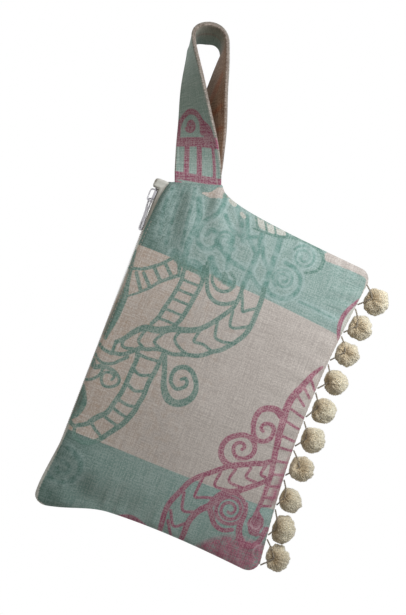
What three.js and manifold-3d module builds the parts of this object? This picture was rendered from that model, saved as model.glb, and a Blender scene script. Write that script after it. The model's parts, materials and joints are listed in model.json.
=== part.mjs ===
// A flat zipped clutch bag with a wrist strap at one end and a ball fringe along its lower edge,
// hanging by the strap as from a hook. Millimetres, +Z up, front towards -Y.
// The origin is on the inside of the strap's crown, where a hook or a wrist carries the bag.
//
// Bag coordinates: u runs along the zip from the strap end to the far end, v runs from the zip
// edge to the fringe edge, and w runs from the middle of the bag out through its front.
import * as THREE from "three";
import { mergeVertices } from "three/addons/utils/BufferGeometryUtils.js";
import Module from "manifold-3d";

const wasm = await Module();
wasm.setup();

// Bag outline
const zipEdgeLength = 287;
const fringeEdgeLength = 268;
const bagDepth = 189;
const fringeEdgeBow = 10;
const farEdgeBow = 11.8; // how far the seam of the far end is drawn in
const farEdgeBowPlace = 0.3; // where that is, as a share of the depth from the zip
const cornerRadius = 8;
const hangTilt = 21; // degrees that the bag leans when it hangs by its strap
const strapPeakRise = 17; // how far the strap draws the end seam up
const strapPeakPlace = 47; // from the zip edge to the top of that peak
const strapPeakFall = 24; // length over which the seam falls back beyond the peak
const strapFallPower = 0.6; // below 1 the seam falls steeply beside the strap, then slowly

// Cloth
const panelThickness = 1.2;
const liningThickness = 0.6;
const seamGap = 0.3;
const clearance = 0.3;
const bulge = 10; // half thickness that the empty bag keeps at its middle
const endReach = 90; // distance over which the bag swells from an end seam
const sideReach = 95; // the same from the zip edge and from the fringe edge
const swellPower = 0.6;
const mouthHalfGap = 6.5; // from the middle of the zip to the panel's inner face
const mouthEndReach = 22; // distance over which the mouth closes at each end
const mouthFade = 60; // depth at which the zip's width no longer shows in the panel
const liningEndInset = 12;
const liningZipInset = 4;

// Zip
const zipEndInset = 5; // from the end seam to the end of the tape
const tapeThickness = 0.6;
const tapeSlit = 2.6; // between the two tapes, under the teeth
const tapeLift = 1.2; // how far the tape's face stands out of the panels' edges
const tapeTuck = 0.7; // how far the tape's sewn edge is tucked in behind the panels' edges
const tapeFold = 1.25; // width of the sewn edge
const toothPitch = 4;
const toothWidth = 1.2;
const toothReach = 0.9; // how far a tooth passes the middle of the chain
const toothHeight = 1.1;
const toothRootInner = 1.5;
const toothRootOuter = 2.6;
const stopLength = 2;
const endStopLength = 3.5;
const endTabLength = 6;
const endTabHeight = 2.8;
const endTabWidth = 6.8;

// Slider and pull tab
const sliderLength = 13;
const sliderNoseWidth = 6.4;
const sliderWidth = 7.8;
const sliderTailWidth = 6.6;
const sliderPlate = 1;
const sliderPostLength = 3;
const sliderPostWidth = 1.8;
const sliderPlay = 0.4;
const bridgeWidth = 2.2;
const bridgeLength = 10;
const bridgeThickness = 1;
const pullLength = 26.5;
const pullNeckWidth = 4.2;
const pullEndWidth = 6.4;
const pullThickness = 1.2;
const pullEyeLength = 6.7;
const pullEyeRim = 1.2;
const pullSlotLength = 6;
const pullSlotWidth = 2.2;
const pullSlotRim = 2.4;

// Ball fringe
const ballCount = 10;
const ballDiameter = 21.5;
const ballDrop = 14; // from the seam to the middle of a ball
const fringeEndMargin = 6;
const threadDiameter = 1.1;
const threadLead = 12.2; // from a ball's middle back to the stitch that it hangs from
const threadTrail = 9.5; // from a ball's middle on to the stitch that steadies it
const headerDepth = 5;
const headerThickness = 0.8;
const headerProud = 0.8; // how much of the header shows below the seam

// Wrist strap
const strapWidth = 38.5;
const strapThickness = 3;
const strapSeatStart = 9; // from the zip edge to the strap
const strapCrownRadius = 12.4; // inside radius where the strap goes over the hook
const strapDrop = 123; // from the crown down to the end seam
const strapLean = 8.3; // how far the strap's foot lies to the zip's side of its crown
const strapFootHeight = 8; // sewn foot, where the strap flexes
const strapFootThickness = 3;
const strapTwistShare = 0.88; // share of the strap's rise that makes the quarter turn
const strapEdgeRound = 0.7;

const red = { tone: "#b4637c", rough: 0.9 };
const cloth = { tone: "#9fb9b0", rough: 0.9 };
const liningCloth = { tone: "#d9d2c4", rough: 0.9 };
const tapeCloth = { tone: "#d8d4c8", rough: 0.85 };
const nylon = { tone: "#e3e0d6", rough: 0.5 };
const nickel = { tone: "#d4d4d2", rough: 0.3, metal: 1 };
const yarn = { tone: "#d8ccb0", rough: 1 };
const twine = { tone: "#9c8d78", rough: 0.95 };

const part = new THREE.Group();
const bag = new THREE.Group();
part.add(bag);

function addMesh(parent, name, geometry, finish) {
  const material = new THREE.MeshStandardMaterial({
    color: finish.tone,
    roughness: finish.rough,
    metalness: finish.metal ?? 0,
  });
  const mesh = new THREE.Mesh(facingOut(geometry), material);
  mesh.name = name;
  parent.add(mesh);
  return mesh;
}

// Geometry helpers

function facingOut(geometry) {
  const bare = new THREE.BufferGeometry();
  bare.setAttribute("position", geometry.getAttribute("position"));
  bare.setIndex(geometry.getIndex());
  const merged = mergeVertices(bare, 1e-4);
  const index = merged.index.array;
  const corner = [new THREE.Vector3(), new THREE.Vector3(), new THREE.Vector3()];
  let volume = 0;
  for (let i = 0; i < index.length; i += 3) {
    corner.forEach((point, k) => point.fromBufferAttribute(merged.attributes.position, index[i + k]));
    volume += corner[0].dot(corner[1].clone().cross(corner[2]));
  }
  if (volume < 0) {
    for (let i = 0; i < index.length; i += 3) [index[i + 1], index[i + 2]] = [index[i + 2], index[i + 1]];
  }
  return merged;
}

function geometryOf(points, triangles) {
  const geometry = new THREE.BufferGeometry().setFromPoints(points);
  geometry.setIndex(triangles);
  return geometry;
}

// A closed wall between two grids of points that have the same rows and columns.
function wallBetween(faceRows, backRows) {
  const rows = faceRows.length;
  const columns = faceRows[0].length;
  const points = [...faceRows.flat(), ...backRows.flat()];
  const face = (i, j) => i * columns + j;
  const back = (i, j) => rows * columns + face(i, j);
  const triangles = [];
  const quad = (a, b, c, d) => triangles.push(a, b, c, a, c, d);
  for (let i = 0; i + 1 < rows; i++) {
    for (let j = 0; j + 1 < columns; j++) {
      quad(face(i, j), face(i, j + 1), face(i + 1, j + 1), face(i + 1, j));
      quad(back(i, j), back(i + 1, j), back(i + 1, j + 1), back(i, j + 1));
    }
  }
  const last = { row: rows - 1, column: columns - 1 };
  for (let i = 0; i + 1 < rows; i++) {
    quad(face(i, 0), face(i + 1, 0), back(i + 1, 0), back(i, 0));
    quad(face(i + 1, last.column), face(i, last.column), back(i, last.column), back(i + 1, last.column));
  }
  for (let j = 0; j + 1 < columns; j++) {
    quad(face(0, j + 1), face(0, j), back(0, j), back(0, j + 1));
    quad(face(last.row, j), face(last.row, j + 1), back(last.row, j + 1), back(last.row, j));
  }
  return geometryOf(points, triangles);
}

// A closed bar through a list of sections, each a ring of points.
function barThrough(sections) {
  const sides = sections[0].length;
  const points = sections.flat();
  const triangles = [];
  const at = (i, k) => i * sides + (k % sides);
  for (let i = 0; i + 1 < sections.length; i++) {
    for (let k = 0; k < sides; k++) {
      triangles.push(at(i, k), at(i, k + 1), at(i + 1, k + 1), at(i, k), at(i + 1, k + 1), at(i + 1, k));
    }
  }
  const end = sections.length - 1;
  for (let k = 1; k + 1 < sides; k++) {
    triangles.push(at(0, 0), at(0, k + 1), at(0, k), at(end, 0), at(end, k), at(end, k + 1));
  }
  return geometryOf(points, triangles);
}

// The flat outline (first coordinate, second coordinate) given a thickness and set in the bag by place.
function plate(outline, from, to, place, holes = []) {
  const shape = new THREE.Shape(outline.map(([a, b]) => new THREE.Vector2(a, b)));
  holes.forEach((hole) => shape.holes.push(new THREE.Path(hole.map(([a, b]) => new THREE.Vector2(a, b)))));
  const geometry = new THREE.ExtrudeGeometry(shape, { depth: to - from, bevelEnabled: false });
  const position = geometry.getAttribute("position");
  for (let i = 0; i < position.count; i++) {
    const point = place(position.getX(i), position.getY(i), from + position.getZ(i));
    position.setXYZ(i, point.x, point.y, point.z);
  }
  return facingOut(geometry);
}

function solidOf(geometry) {
  const { position } = geometry.attributes;
  return new wasm.Manifold(
    new wasm.Mesh({
      numProp: 3,
      vertProperties: new Float32Array(position.array),
      triVerts: new Uint32Array(geometry.index.array),
    }),
  );
}

function joined(geometries) {
  const mesh = geometries.map(solidOf).reduce((whole, piece) => whole.add(piece)).getMesh();
  const points = [];
  for (let i = 0; i < mesh.numVert; i++) {
    points.push(new THREE.Vector3().fromArray(mesh.vertProperties, i * mesh.numProp));
  }
  return geometryOf(points, [...mesh.triVerts]);
}

const inBag = (u, v, w) => new THREE.Vector3(v, -w, -u);
const acrossZip = (u, w, v) => inBag(u, v, w); // outlines drawn on the zip, thick along v
const besideZip = (u, v, w) => inBag(u, v, w); // outlines drawn on the bag, thick along w

// Bag outline and swell

const endTaper = (zipEdgeLength - fringeEdgeLength) / 2;

function strapEdgeRise(v) {
  if (v <= strapPeakPlace) return (strapPeakRise * v) / strapPeakPlace;
  const beyond = v - strapPeakPlace;
  const toCorner = beyond / (bagDepth - strapPeakPlace);
  return strapPeakRise * Math.exp(-((beyond / strapPeakFall) ** strapFallPower)) * (1 - toCorner ** 4);
}

function farEdgeDraw(t) {
  if (t <= farEdgeBowPlace) return (farEdgeBow * (1 - Math.cos((Math.PI * t) / farEdgeBowPlace))) / 2;
  return farEdgeBow * Math.cos(((Math.PI / 2) * (t - farEdgeBowPlace)) / (1 - farEdgeBowPlace));
}

const strapEdge = (t) => ({ u: endTaper * t - strapEdgeRise(t * bagDepth), v: t * bagDepth });
const farEdge = (t) => ({
  u: zipEdgeLength - endTaper * t - farEdgeDraw(t),
  v: t * bagDepth,
});
const zipEdge = (s) => ({ u: s * zipEdgeLength, v: 0 });
const fringeEdge = (s) => ({
  u: endTaper + s * fringeEdgeLength,
  v: bagDepth - fringeEdgeBow * Math.sin(Math.PI * s),
});
const fringeSeam = (u) => fringeEdge((u - endTaper) / fringeEdgeLength);

// A point of the bag's middle plane, s from end to end and t from the zip to the fringe.
function onPlane(s, t) {
  const blend = (axis) => {
    const along = (1 - t) * zipEdge(s)[axis] + t * fringeEdge(s)[axis];
    const across = (1 - s) * strapEdge(t)[axis] + s * farEdge(t)[axis];
    const corners =
      (1 - s) * (1 - t) * zipEdge(0)[axis] +
      s * (1 - t) * zipEdge(1)[axis] +
      (1 - s) * t * fringeEdge(0)[axis] +
      s * t * fringeEdge(1)[axis];
    return along + across - corners;
  };
  return { u: blend("u"), v: blend("v") };
}

// Draws the corner of a square in to a quarter circle.
function roundCorner(alongEnd, alongSide) {
  const p = cornerRadius - alongEnd;
  const q = cornerRadius - alongSide;
  if (p <= 0 || q <= 0) return [alongEnd, alongSide];
  const square = 2 * cornerRadius ** 2;
  return [
    cornerRadius - p * Math.sqrt(1 - (q * q) / square),
    cornerRadius - q * Math.sqrt(1 - (p * p) / square),
  ];
}

const swell = (distance, reach) => (1 - (1 - Math.min(distance / reach, 1)) ** 2) ** swellPower;

// Half thickness of the hollow, from the bag's middle plane to the panel's inner face.
function hollow(s, t) {
  const fromEnd = Math.min(s, 1 - s) * zipEdgeLength;
  const fromZip = t * bagDepth;
  const fromFringe = (1 - t) * bagDepth;
  const headerSpace = (headerThickness / 2 + clearance - seamGap / 2) * t ** 6;
  const mouthClosing = Math.sqrt(1 - (1 - Math.min(fromEnd / mouthEndReach, 1)) ** 2);
  const mouth = mouthHalfGap * mouthClosing * Math.max(1 - fromZip / mouthFade, 0) ** 2;
  const belly = bulge * swell(fromEnd, endReach) * swell(fromZip, sideReach) * swell(fromFringe, sideReach);
  return seamGap / 2 + headerSpace + mouth + belly;
}

// Distances from an edge at which the cloth has lines of points: close at the seams, wide between,
// and one at each of the places given.
function clothLines(length, steps, places) {
  const span = length - 2 * cornerRadius;
  const eased = (k) => cornerRadius + (span * (1 - Math.cos((Math.PI * k) / steps))) / 2;
  const between = Array.from({ length: steps + 1 }, (_, k) => eased(k));
  const firstStep = cornerRadius * 0.3;
  const atSeams = [0, firstStep, length - firstStep, length];
  return [...atSeams, ...between, ...places].sort((a, b) => a - b);
}

const liningEnd = zipEdgeLength - liningEndInset;
const liningFringe = bagDepth - liningEndInset;
const clothAlong = clothLines(zipEdgeLength, 16, [liningEndInset, liningEnd]);
const clothDown = clothLines(bagDepth, 12, [liningZipInset, strapPeakPlace, liningFringe]);

// One cloth wall of the bag: side is 1 at the front and -1 at the back.
function clothWall(side, uLines, vLines, inside, thickness, rounded) {
  const row = (fromEnd, depth) =>
    vLines.map((fromZip) => {
      const nearEnd = Math.min(fromEnd, zipEdgeLength - fromEnd);
      const nearSide = Math.min(fromZip, bagDepth - fromZip);
      const [end, edge] = rounded ? roundCorner(nearEnd, nearSide) : [nearEnd, nearSide];
      const s = (fromEnd === nearEnd ? end : zipEdgeLength - end) / zipEdgeLength;
      const t = (fromZip === nearSide ? edge : bagDepth - edge) / bagDepth;
      const { u, v } = onPlane(s, t);
      return inBag(u, v, side * (hollow(s, t) - inside + depth));
    });
  const outer = uLines.map((fromEnd) => row(fromEnd, thickness));
  const inner = uLines.map((fromEnd) => row(fromEnd, 0));
  return wallBetween(outer, inner);
}

function addPanels() {
  addMesh(bag, "front_panel", clothWall(1, clothAlong, clothDown, 0, panelThickness, true), cloth);
  addMesh(bag, "back_panel", clothWall(-1, clothAlong, clothDown, 0, panelThickness, true), cloth);
}

function addLinings() {
  const uLines = clothAlong.filter((u) => u >= liningEndInset && u <= liningEnd);
  const vLines = clothDown.filter((v) => v >= liningZipInset && v <= liningFringe);
  const behind = clearance + liningThickness;
  addMesh(bag, "front_lining", clothWall(1, uLines, vLines, behind, liningThickness, false), liningCloth);
  addMesh(bag, "back_lining", clothWall(-1, uLines, vLines, behind, liningThickness, false), liningCloth);
}

// Zip

const tapeFace = -tapeLift; // v of the tape's outer face
const toothBase = tapeFace - clearance;
const toothTop = toothBase - toothHeight;
const sliderStart = zipEndInset + stopLength + 2 * clearance;
const chainStart = sliderStart - clearance;
const chainEnd = zipEdgeLength - zipEndInset - endStopLength - clearance;
const mouthWall = (u) => hollow(u / zipEdgeLength, tapeTuck / bagDepth);

function addZipTape(name, side) {
  const steps = 24;
  const from = zipEndInset;
  const to = zipEdgeLength - zipEndInset;
  const row = (u, depth) => {
    const sewnEdge = mouthWall(u) - clearance;
    const profile = [
      [tapeSlit / 2, tapeFace],
      [sewnEdge - tapeFold, tapeFace],
      [sewnEdge, tapeTuck],
    ];
    return profile.map(([w, v]) => inBag(u, v + depth, side * w));
  };
  const eased = (k) => from + ((to - from) * (1 - Math.cos((Math.PI * k) / steps))) / 2;
  const places = Array.from({ length: steps + 1 }, (_, k) => eased(k));
  const faces = places.map((u) => row(u, 0));
  const backs = places.map((u) => row(u, tapeThickness));
  addMesh(bag, name, wallBetween(faces, backs), tapeCloth);
}

// One row of teeth on its root, drawn as a comb. The two rows stand half a pitch apart.
function addZipTeeth(name, side, stagger) {
  const firstTooth = sliderStart + sliderPostLength + 2 * sliderPlay + stagger;
  const count = Math.floor((chainEnd - toothWidth - firstTooth) / toothPitch) + 1;
  const outline = [
    [chainEnd, side * toothRootInner],
    [chainEnd, side * toothRootOuter],
    [chainStart, side * toothRootOuter],
    [chainStart, side * toothRootInner],
  ];
  for (let k = 0; k < count; k++) {
    const u = firstTooth + k * toothPitch;
    outline.push([u, side * toothRootInner], [u, -side * toothReach]);
    outline.push([u + toothWidth, -side * toothReach], [u + toothWidth, side * toothRootInner]);
  }
  addMesh(bag, name, plate(outline, toothTop, toothBase, acrossZip), nylon);
}

function box(uRange, wRange, vRange) {
  const [u0, u1] = uRange;
  const [w0, w1] = wRange;
  const outline = [
    [u0, w0],
    [u1, w0],
    [u1, w1],
    [u0, w1],
  ];
  return plate(outline, vRange[0], vRange[1], acrossZip);
}

function addZipStops() {
  const onTape = [toothTop, toothBase];
  const topPlace = [zipEndInset, zipEndInset + stopLength];
  const frontRow = [toothRootInner, toothRootOuter];
  const backRow = [-toothRootOuter, -toothRootInner];
  addMesh(bag, "zip_top_stop_front", box(topPlace, frontRow, onTape), nickel);
  addMesh(bag, "zip_top_stop_back", box(topPlace, backRow, onTape), nickel);
  const endPlace = [zipEdgeLength - zipEndInset - endStopLength, zipEdgeLength - zipEndInset];
  addMesh(bag, "zip_end_stop", box(endPlace, [-toothRootOuter, toothRootOuter], onTape), nickel);
}

// The folded ends of the zip tape, which fill the two corners of the mouth.
function addZipEndTabs() {
  const chamfer = endTabWidth / 5;
  const half = endTabWidth / 2;
  const section = [
    [-half, -clearance],
    [half, -clearance],
    [half, -endTabHeight + chamfer],
    [half - chamfer, -endTabHeight],
    [chamfer - half, -endTabHeight],
    [-half, chamfer - endTabHeight],
  ];
  const tab = (from, to) => plate(section, from, to, (w, v, u) => inBag(u, v, w));
  const strapEndTab = zipEndInset - clearance;
  const farEndTab = zipEdgeLength - strapEndTab;
  addMesh(bag, "zip_end_tab_upper", tab(strapEndTab - endTabLength, strapEndTab), tapeCloth);
  addMesh(bag, "zip_end_tab_lower", tab(farEndTab, farEndTab + endTabLength), tapeCloth);
}

// Slider: two plates joined by a post, with flanges beside the teeth and a bridge for the pull tab.
const sliderEnd = sliderStart + sliderLength;
const upperPlateBase = toothTop - sliderPlay;
const upperPlateTop = upperPlateBase - sliderPlate;
const lowerPlateTop = tapeFace + tapeThickness + sliderPlay;
const lowerPlateBase = lowerPlateTop + sliderPlate;
const pullGap = (Math.SQRT2 * pullThickness) / 2 + sliderPlay / 2; // room for the pull tab's bar to turn
const pullAxisV = upperPlateTop - pullGap;
const bridgeUnder = pullAxisV - pullGap;
const bridgeTop = bridgeUnder - bridgeThickness;
const bridgeStart = sliderStart + (sliderLength - bridgeLength) / 2;
const bridgeEnd = bridgeStart + bridgeLength;
const pullAxisU = bridgeEnd - bridgeThickness - pullGap;

function addSlider() {
  const shoulder = sliderStart + sliderLength / 6;
  const waist = sliderStart + (sliderLength * 3) / 4;
  const outline = (narrower) => [
    [sliderStart, sliderNoseWidth / 2 - narrower],
    [shoulder, sliderWidth / 2 - narrower],
    [waist, sliderWidth / 2 - narrower],
    [sliderEnd, sliderTailWidth / 2 - narrower],
    [sliderEnd, narrower - sliderTailWidth / 2],
    [waist, narrower - sliderWidth / 2],
    [shoulder, narrower - sliderWidth / 2],
    [sliderStart, narrower - sliderNoseWidth / 2],
  ];
  const sunk = sliderPlate / 2;
  const upper = plate(outline(0), upperPlateTop, upperPlateBase, acrossZip);
  const lower = plate(outline(sliderPlate / 2), lowerPlateTop, lowerPlateBase, acrossZip);
  const postEnd = sliderStart + sliderPostLength;
  const post = [
    [sliderStart, 0],
    [sliderStart + sliderPostLength / 2, sliderPostWidth / 2],
    [postEnd, 0],
    [sliderStart + sliderPostLength / 2, -sliderPostWidth / 2],
  ];
  const pieces = [upper, lower, plate(post, upperPlateBase - sunk, lowerPlateTop + sunk, acrossZip)];
  for (const side of [1, -1]) {
    const inner = side * (toothRootOuter + sliderPlay);
    const outer = side * (sliderWidth / 2);
    const flange = [Math.min(inner, outer), Math.max(inner, outer)];
    pieces.push(box([shoulder, waist], flange, [upperPlateBase - sunk, tapeFace - sliderPlay]));
  }
  const slope = bridgeThickness;
  const foot = upperPlateTop + sunk;
  const bridge = [
    [bridgeStart - slope, foot],
    [bridgeStart, bridgeTop + slope],
    [bridgeStart + slope, bridgeTop],
    [bridgeEnd - slope, bridgeTop],
    [bridgeEnd, bridgeTop + slope],
    [bridgeEnd + slope, foot],
    [bridgeEnd, foot],
    [bridgeEnd - bridgeThickness, bridgeUnder],
    [bridgeStart + bridgeThickness, bridgeUnder],
    [bridgeStart, foot],
  ];
  pieces.push(plate(bridge, -bridgeWidth / 2, bridgeWidth / 2, besideZip));
  addMesh(bag, "zip_slider", joined(pieces), nickel);
}

function roundEnd(u, radius, steps) {
  return Array.from({ length: steps + 1 }, (_, k) => {
    const angle = Math.PI / 2 - (Math.PI * k) / steps;
    return [u + radius * Math.cos(angle), radius * Math.sin(angle)];
  });
}

function addPullTab() {
  const bar = pullThickness / 2;
  const start = pullAxisU - bar;
  const eyeStart = pullAxisU + bar;
  const eyeHalf = bridgeWidth / 2 + sliderPlay;
  const headHalf = eyeHalf + pullEyeRim;
  const eyeEnd = eyeStart + pullEyeLength;
  const neck = eyeEnd + 2 * pullEyeRim;
  const endCentre = start + pullLength - pullEndWidth / 2;
  const outline = [
    [start, -headHalf],
    [eyeEnd, -headHalf],
    [neck, -pullNeckWidth / 2],
    ...roundEnd(endCentre, pullEndWidth / 2, 10).reverse(),
    [neck, pullNeckWidth / 2],
    [eyeEnd, headHalf],
    [start, headHalf],
  ];
  const eye = [
    [eyeStart, -eyeHalf],
    [eyeStart, eyeHalf],
    [eyeEnd, eyeHalf],
    [eyeEnd, -eyeHalf],
  ];
  const slotEnd = start + pullLength - pullSlotRim - pullSlotWidth / 2;
  const slotStart = slotEnd - (pullSlotLength - pullSlotWidth);
  const backwards = ([u, w]) => [slotStart + slotEnd - u, -w];
  const slotCap = roundEnd(slotEnd, pullSlotWidth / 2, 6);
  const slot = [...slotCap, ...slotCap.map(backwards)];
  const tab = plate(outline, pullAxisV - bar, pullAxisV + bar, acrossZip, [eye, slot]);
  addMesh(bag, "zip_pull_tab", tab, nickel);
}

// Ball fringe

const ballPitch = (fringeEdgeLength - 2 * fringeEndMargin) / ballCount;
const ballPlace = (k) => endTaper + fringeEndMargin + (k + 0.5) * ballPitch;
const ballRadius = ballDiameter / 2;

function addHeader() {
  const steps = 22;
  const from = endTaper + fringeEndMargin / 2;
  const to = endTaper + fringeEdgeLength - fringeEndMargin / 2;
  const row = (u, w) => {
    const seam = fringeSeam(u).v;
    return [inBag(u, seam - headerDepth, w), inBag(u, seam + headerProud, w)];
  };
  const places = Array.from({ length: steps + 1 }, (_, k) => from + ((to - from) * k) / steps);
  const faces = places.map((u) => row(u, headerThickness / 2));
  const backs = places.map((u) => row(u, -headerThickness / 2));
  addMesh(bag, "fringe_header", wallBetween(faces, backs), tapeCloth);
}

// A ring of points round a thread that lies in the bag's middle plane.
function threadRing(point, heading) {
  const side = { u: -heading.v, v: heading.u };
  const sides = 6;
  return Array.from({ length: sides }, (_, k) => {
    const angle = (2 * Math.PI * k) / sides;
    const across = (threadDiameter / 2) * Math.cos(angle);
    return inBag(
      point.u + side.u * across,
      point.v + side.v * across,
      (threadDiameter / 2) * Math.sin(angle),
    );
  });
}

// The thread leaves one stitch, takes hold of the ball and goes on to the next stitch.
function threadThrough(ball, lead, trail) {
  const hold = ballRadius + threadDiameter / 2 + clearance;
  const angleTo = (stitch) => Math.atan2(stitch.v - ball.v, stitch.u - ball.u);
  const leadAngle = angleTo(lead);
  const trailAngle = angleTo(trail);
  const turn = ((trailAngle - leadAngle + 3 * Math.PI) % (2 * Math.PI)) - Math.PI;
  const steps = 5;
  const round = Array.from({ length: steps + 1 }, (_, k) => {
    const angle = leadAngle + (turn * k) / steps;
    return { u: ball.u + hold * Math.cos(angle), v: ball.v + hold * Math.sin(angle) };
  });
  const route = [lead, ...round, trail];
  const rings = route.map((point, k) => {
    const before = route[Math.max(k - 1, 0)];
    const after = route[Math.min(k + 1, route.length - 1)];
    const length = Math.hypot(after.u - before.u, after.v - before.v);
    return threadRing(point, { u: (after.u - before.u) / length, v: (after.v - before.v) / length });
  });
  return barThrough(rings);
}

function addBalls() {
  const stitchDrop = headerProud + clearance + threadDiameter / 2;
  const stitch = (u) => ({ u, v: fringeSeam(u).v + stitchDrop });
  for (let k = 0; k < ballCount; k++) {
    const label = String(k + 1).padStart(2, "0");
    const u = ballPlace(k);
    const ball = { u, v: fringeSeam(u).v + ballDrop };
    const globe = new THREE.IcosahedronGeometry(ballRadius, 2);
    const mesh = addMesh(bag, `pompom_${label}`, globe, yarn);
    mesh.position.copy(inBag(ball.u, ball.v, 0));
    const thread = threadThrough(ball, stitch(u - threadLead), stitch(u + threadTrail));
    addMesh(bag, `pompom_thread_${label}`, thread, twine);
  }
}

// Wrist strap

const seatSlope = new THREE.Vector2(-strapPeakRise / strapPeakPlace + endTaper / bagDepth, 1).normalize();
const seatMiddle = strapSeatStart + (strapWidth / 2) * seatSlope.y;
const seat = strapEdge(seatMiddle / bagDepth);
const strapFoot = new THREE.Vector3(-strapLean, 0, -strapDrop);

// Hangs the bag so that the seat on its end seam lies at the strap's foot.
function hangBag() {
  bag.rotation.y = THREE.MathUtils.degToRad(hangTilt);
  bag.position.copy(strapFoot).sub(inBag(seat.u, seat.v, 0).applyEuler(bag.rotation));
}

const seatDirection = () => inBag(seatSlope.x, seatSlope.y, 0).applyEuler(bag.rotation);

// The strap's middle line and the direction of its width, from the front foot over the crown
// to the back foot. Each side makes a quarter turn on its way up.
function strapRoute() {
  const along = seatDirection();
  const near = new THREE.Vector3(0, -1, 0);
  const radius = strapCrownRadius + strapThickness / 2;
  const springing = -strapCrownRadius;
  const plyOffset = (strapThickness + clearance) / 2;
  const sideSteps = 13;
  const side = (share, direction) => {
    const eased = share * share * (3 - 2 * share);
    const turn = (Math.PI / 2) * Math.min(share / strapTwistShare, 1);
    const start = strapFoot.clone().add(new THREE.Vector3(0, direction * plyOffset, strapFootHeight));
    const top = new THREE.Vector3(direction * radius, 0, springing);
    const middle = new THREE.Vector3(
      THREE.MathUtils.lerp(start.x, top.x, direction < 0 ? eased : share),
      THREE.MathUtils.lerp(start.y, top.y, share),
      THREE.MathUtils.lerp(start.z, top.z, share),
    );
    const width = along.clone().multiplyScalar(Math.cos(turn)).addScaledVector(near, Math.sin(turn));
    return { middle, width: width.normalize() };
  };
  const route = [];
  for (let k = 0; k <= sideSteps; k++) route.push(side(k / sideSteps, -1));
  const archSteps = 10; // even, so that the crown is one flat face
  const mitre = 1 / Math.cos(Math.PI / (2 * archSteps));
  for (let k = 0; k < archSteps; k++) {
    const angle = Math.PI * (1 - (k + 0.5) / archSteps);
    const reach = radius * mitre;
    const middle = new THREE.Vector3(reach * Math.cos(angle), 0, springing + reach * Math.sin(angle));
    route.push({ middle, width: near.clone(), mitre });
  }
  for (let k = sideSteps; k >= 0; k--) route.push(side(k / sideSteps, 1));
  return route;
}

function strapSection(middle, width, heading, mitre = 1) {
  const out = new THREE.Vector3().crossVectors(width, heading).setLength(mitre);
  const half = strapWidth / 2;
  const thick = strapThickness / 2;
  const corners = [
    [half - strapEdgeRound, thick],
    [half, thick - strapEdgeRound],
    [half, strapEdgeRound - thick],
    [half - strapEdgeRound, -thick],
    [strapEdgeRound - half, -thick],
    [-half, strapEdgeRound - thick],
    [-half, thick - strapEdgeRound],
    [strapEdgeRound - half, thick],
  ];
  return corners.map(([a, b]) => middle.clone().addScaledVector(width, a).addScaledVector(out, b));
}

function addStrap() {
  const route = strapRoute();
  const sections = route.map(({ middle, width, mitre }, k) => {
    const before = route[Math.max(k - 1, 0)].middle;
    const after = route[Math.min(k + 1, route.length - 1)].middle;
    return strapSection(middle, width, after.clone().sub(before), mitre);
  });
  addMesh(part, "wrist_strap", barThrough(sections), cloth);
}

// The strap's two ends lie together where they are sewn into the end seam.
function addStrapFoot() {
  const half = strapWidth / 2;
  const topThickness = 2 * strapThickness + clearance;
  const out = new THREE.Vector3(0, -1, 0);
  const up = new THREE.Vector3(0, 0, 1);
  const along = seatDirection();
  const ring = (height, thickness) =>
    [
      [-half, -thickness / 2],
      [half, -thickness / 2],
      [half, thickness / 2],
      [-half, thickness / 2],
    ].map(([a, b]) =>
      strapFoot.clone().addScaledVector(along, a).addScaledVector(up, height).addScaledVector(out, b),
    );
  const bottom = 2 * clearance;
  const top = strapFootHeight - 2 * clearance;
  const rings = [ring(bottom, strapFootThickness), ring((bottom + top) / 2, topThickness), ring(top, topThickness)];
  addMesh(part, "strap_sewn_end", barThrough(rings), red);
}

hangBag();
addPanels();
addLinings();
addZipTape("zip_tape_front", 1);
addZipTape("zip_tape_back", -1);
addZipTeeth("zip_teeth_front", 1, 0);
addZipTeeth("zip_teeth_back", -1, toothPitch / 2);
addZipStops();
addZipEndTabs();
addSlider();
addPullTab();
addHeader();
addBalls();
addStrap();
addStrapFoot();

export default part;
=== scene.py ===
import bmesh
import bpy
import json
import math
import numpy as np
from mathutils import Matrix, Vector

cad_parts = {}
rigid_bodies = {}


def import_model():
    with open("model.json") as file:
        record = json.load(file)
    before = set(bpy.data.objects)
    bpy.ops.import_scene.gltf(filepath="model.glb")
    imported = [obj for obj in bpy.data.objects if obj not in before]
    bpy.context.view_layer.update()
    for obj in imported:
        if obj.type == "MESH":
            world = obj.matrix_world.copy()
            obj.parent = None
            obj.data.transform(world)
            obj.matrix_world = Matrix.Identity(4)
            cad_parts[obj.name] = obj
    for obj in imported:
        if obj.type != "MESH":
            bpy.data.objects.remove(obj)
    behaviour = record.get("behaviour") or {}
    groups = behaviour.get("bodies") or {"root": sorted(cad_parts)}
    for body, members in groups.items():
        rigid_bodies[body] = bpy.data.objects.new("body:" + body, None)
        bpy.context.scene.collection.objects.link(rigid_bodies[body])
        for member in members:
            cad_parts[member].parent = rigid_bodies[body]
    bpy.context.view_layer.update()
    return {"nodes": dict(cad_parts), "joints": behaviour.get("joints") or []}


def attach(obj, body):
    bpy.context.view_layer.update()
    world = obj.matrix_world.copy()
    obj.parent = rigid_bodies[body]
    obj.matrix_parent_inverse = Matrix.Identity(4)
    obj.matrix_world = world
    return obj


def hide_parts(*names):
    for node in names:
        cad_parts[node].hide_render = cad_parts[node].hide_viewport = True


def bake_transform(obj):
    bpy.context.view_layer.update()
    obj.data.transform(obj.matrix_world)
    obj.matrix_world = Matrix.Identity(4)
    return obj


for leftover in list(bpy.data.objects):
    bpy.data.objects.remove(leftover)
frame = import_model()
joints = {joint["name"]: joint for joint in frame["joints"]}
mm = 0.001
print("frame loaded:", len(frame["nodes"]), "nodes")


# camera, light and room

photo = {
    "width": 406, "height": 615,      # pixels
    "scale": 0.83,                    # mm per pixel at the bag
    "crownColumn": 208, "crownRow": 35.4,
    "distance": 720.0, "sensor": 36.0,
}


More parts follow.
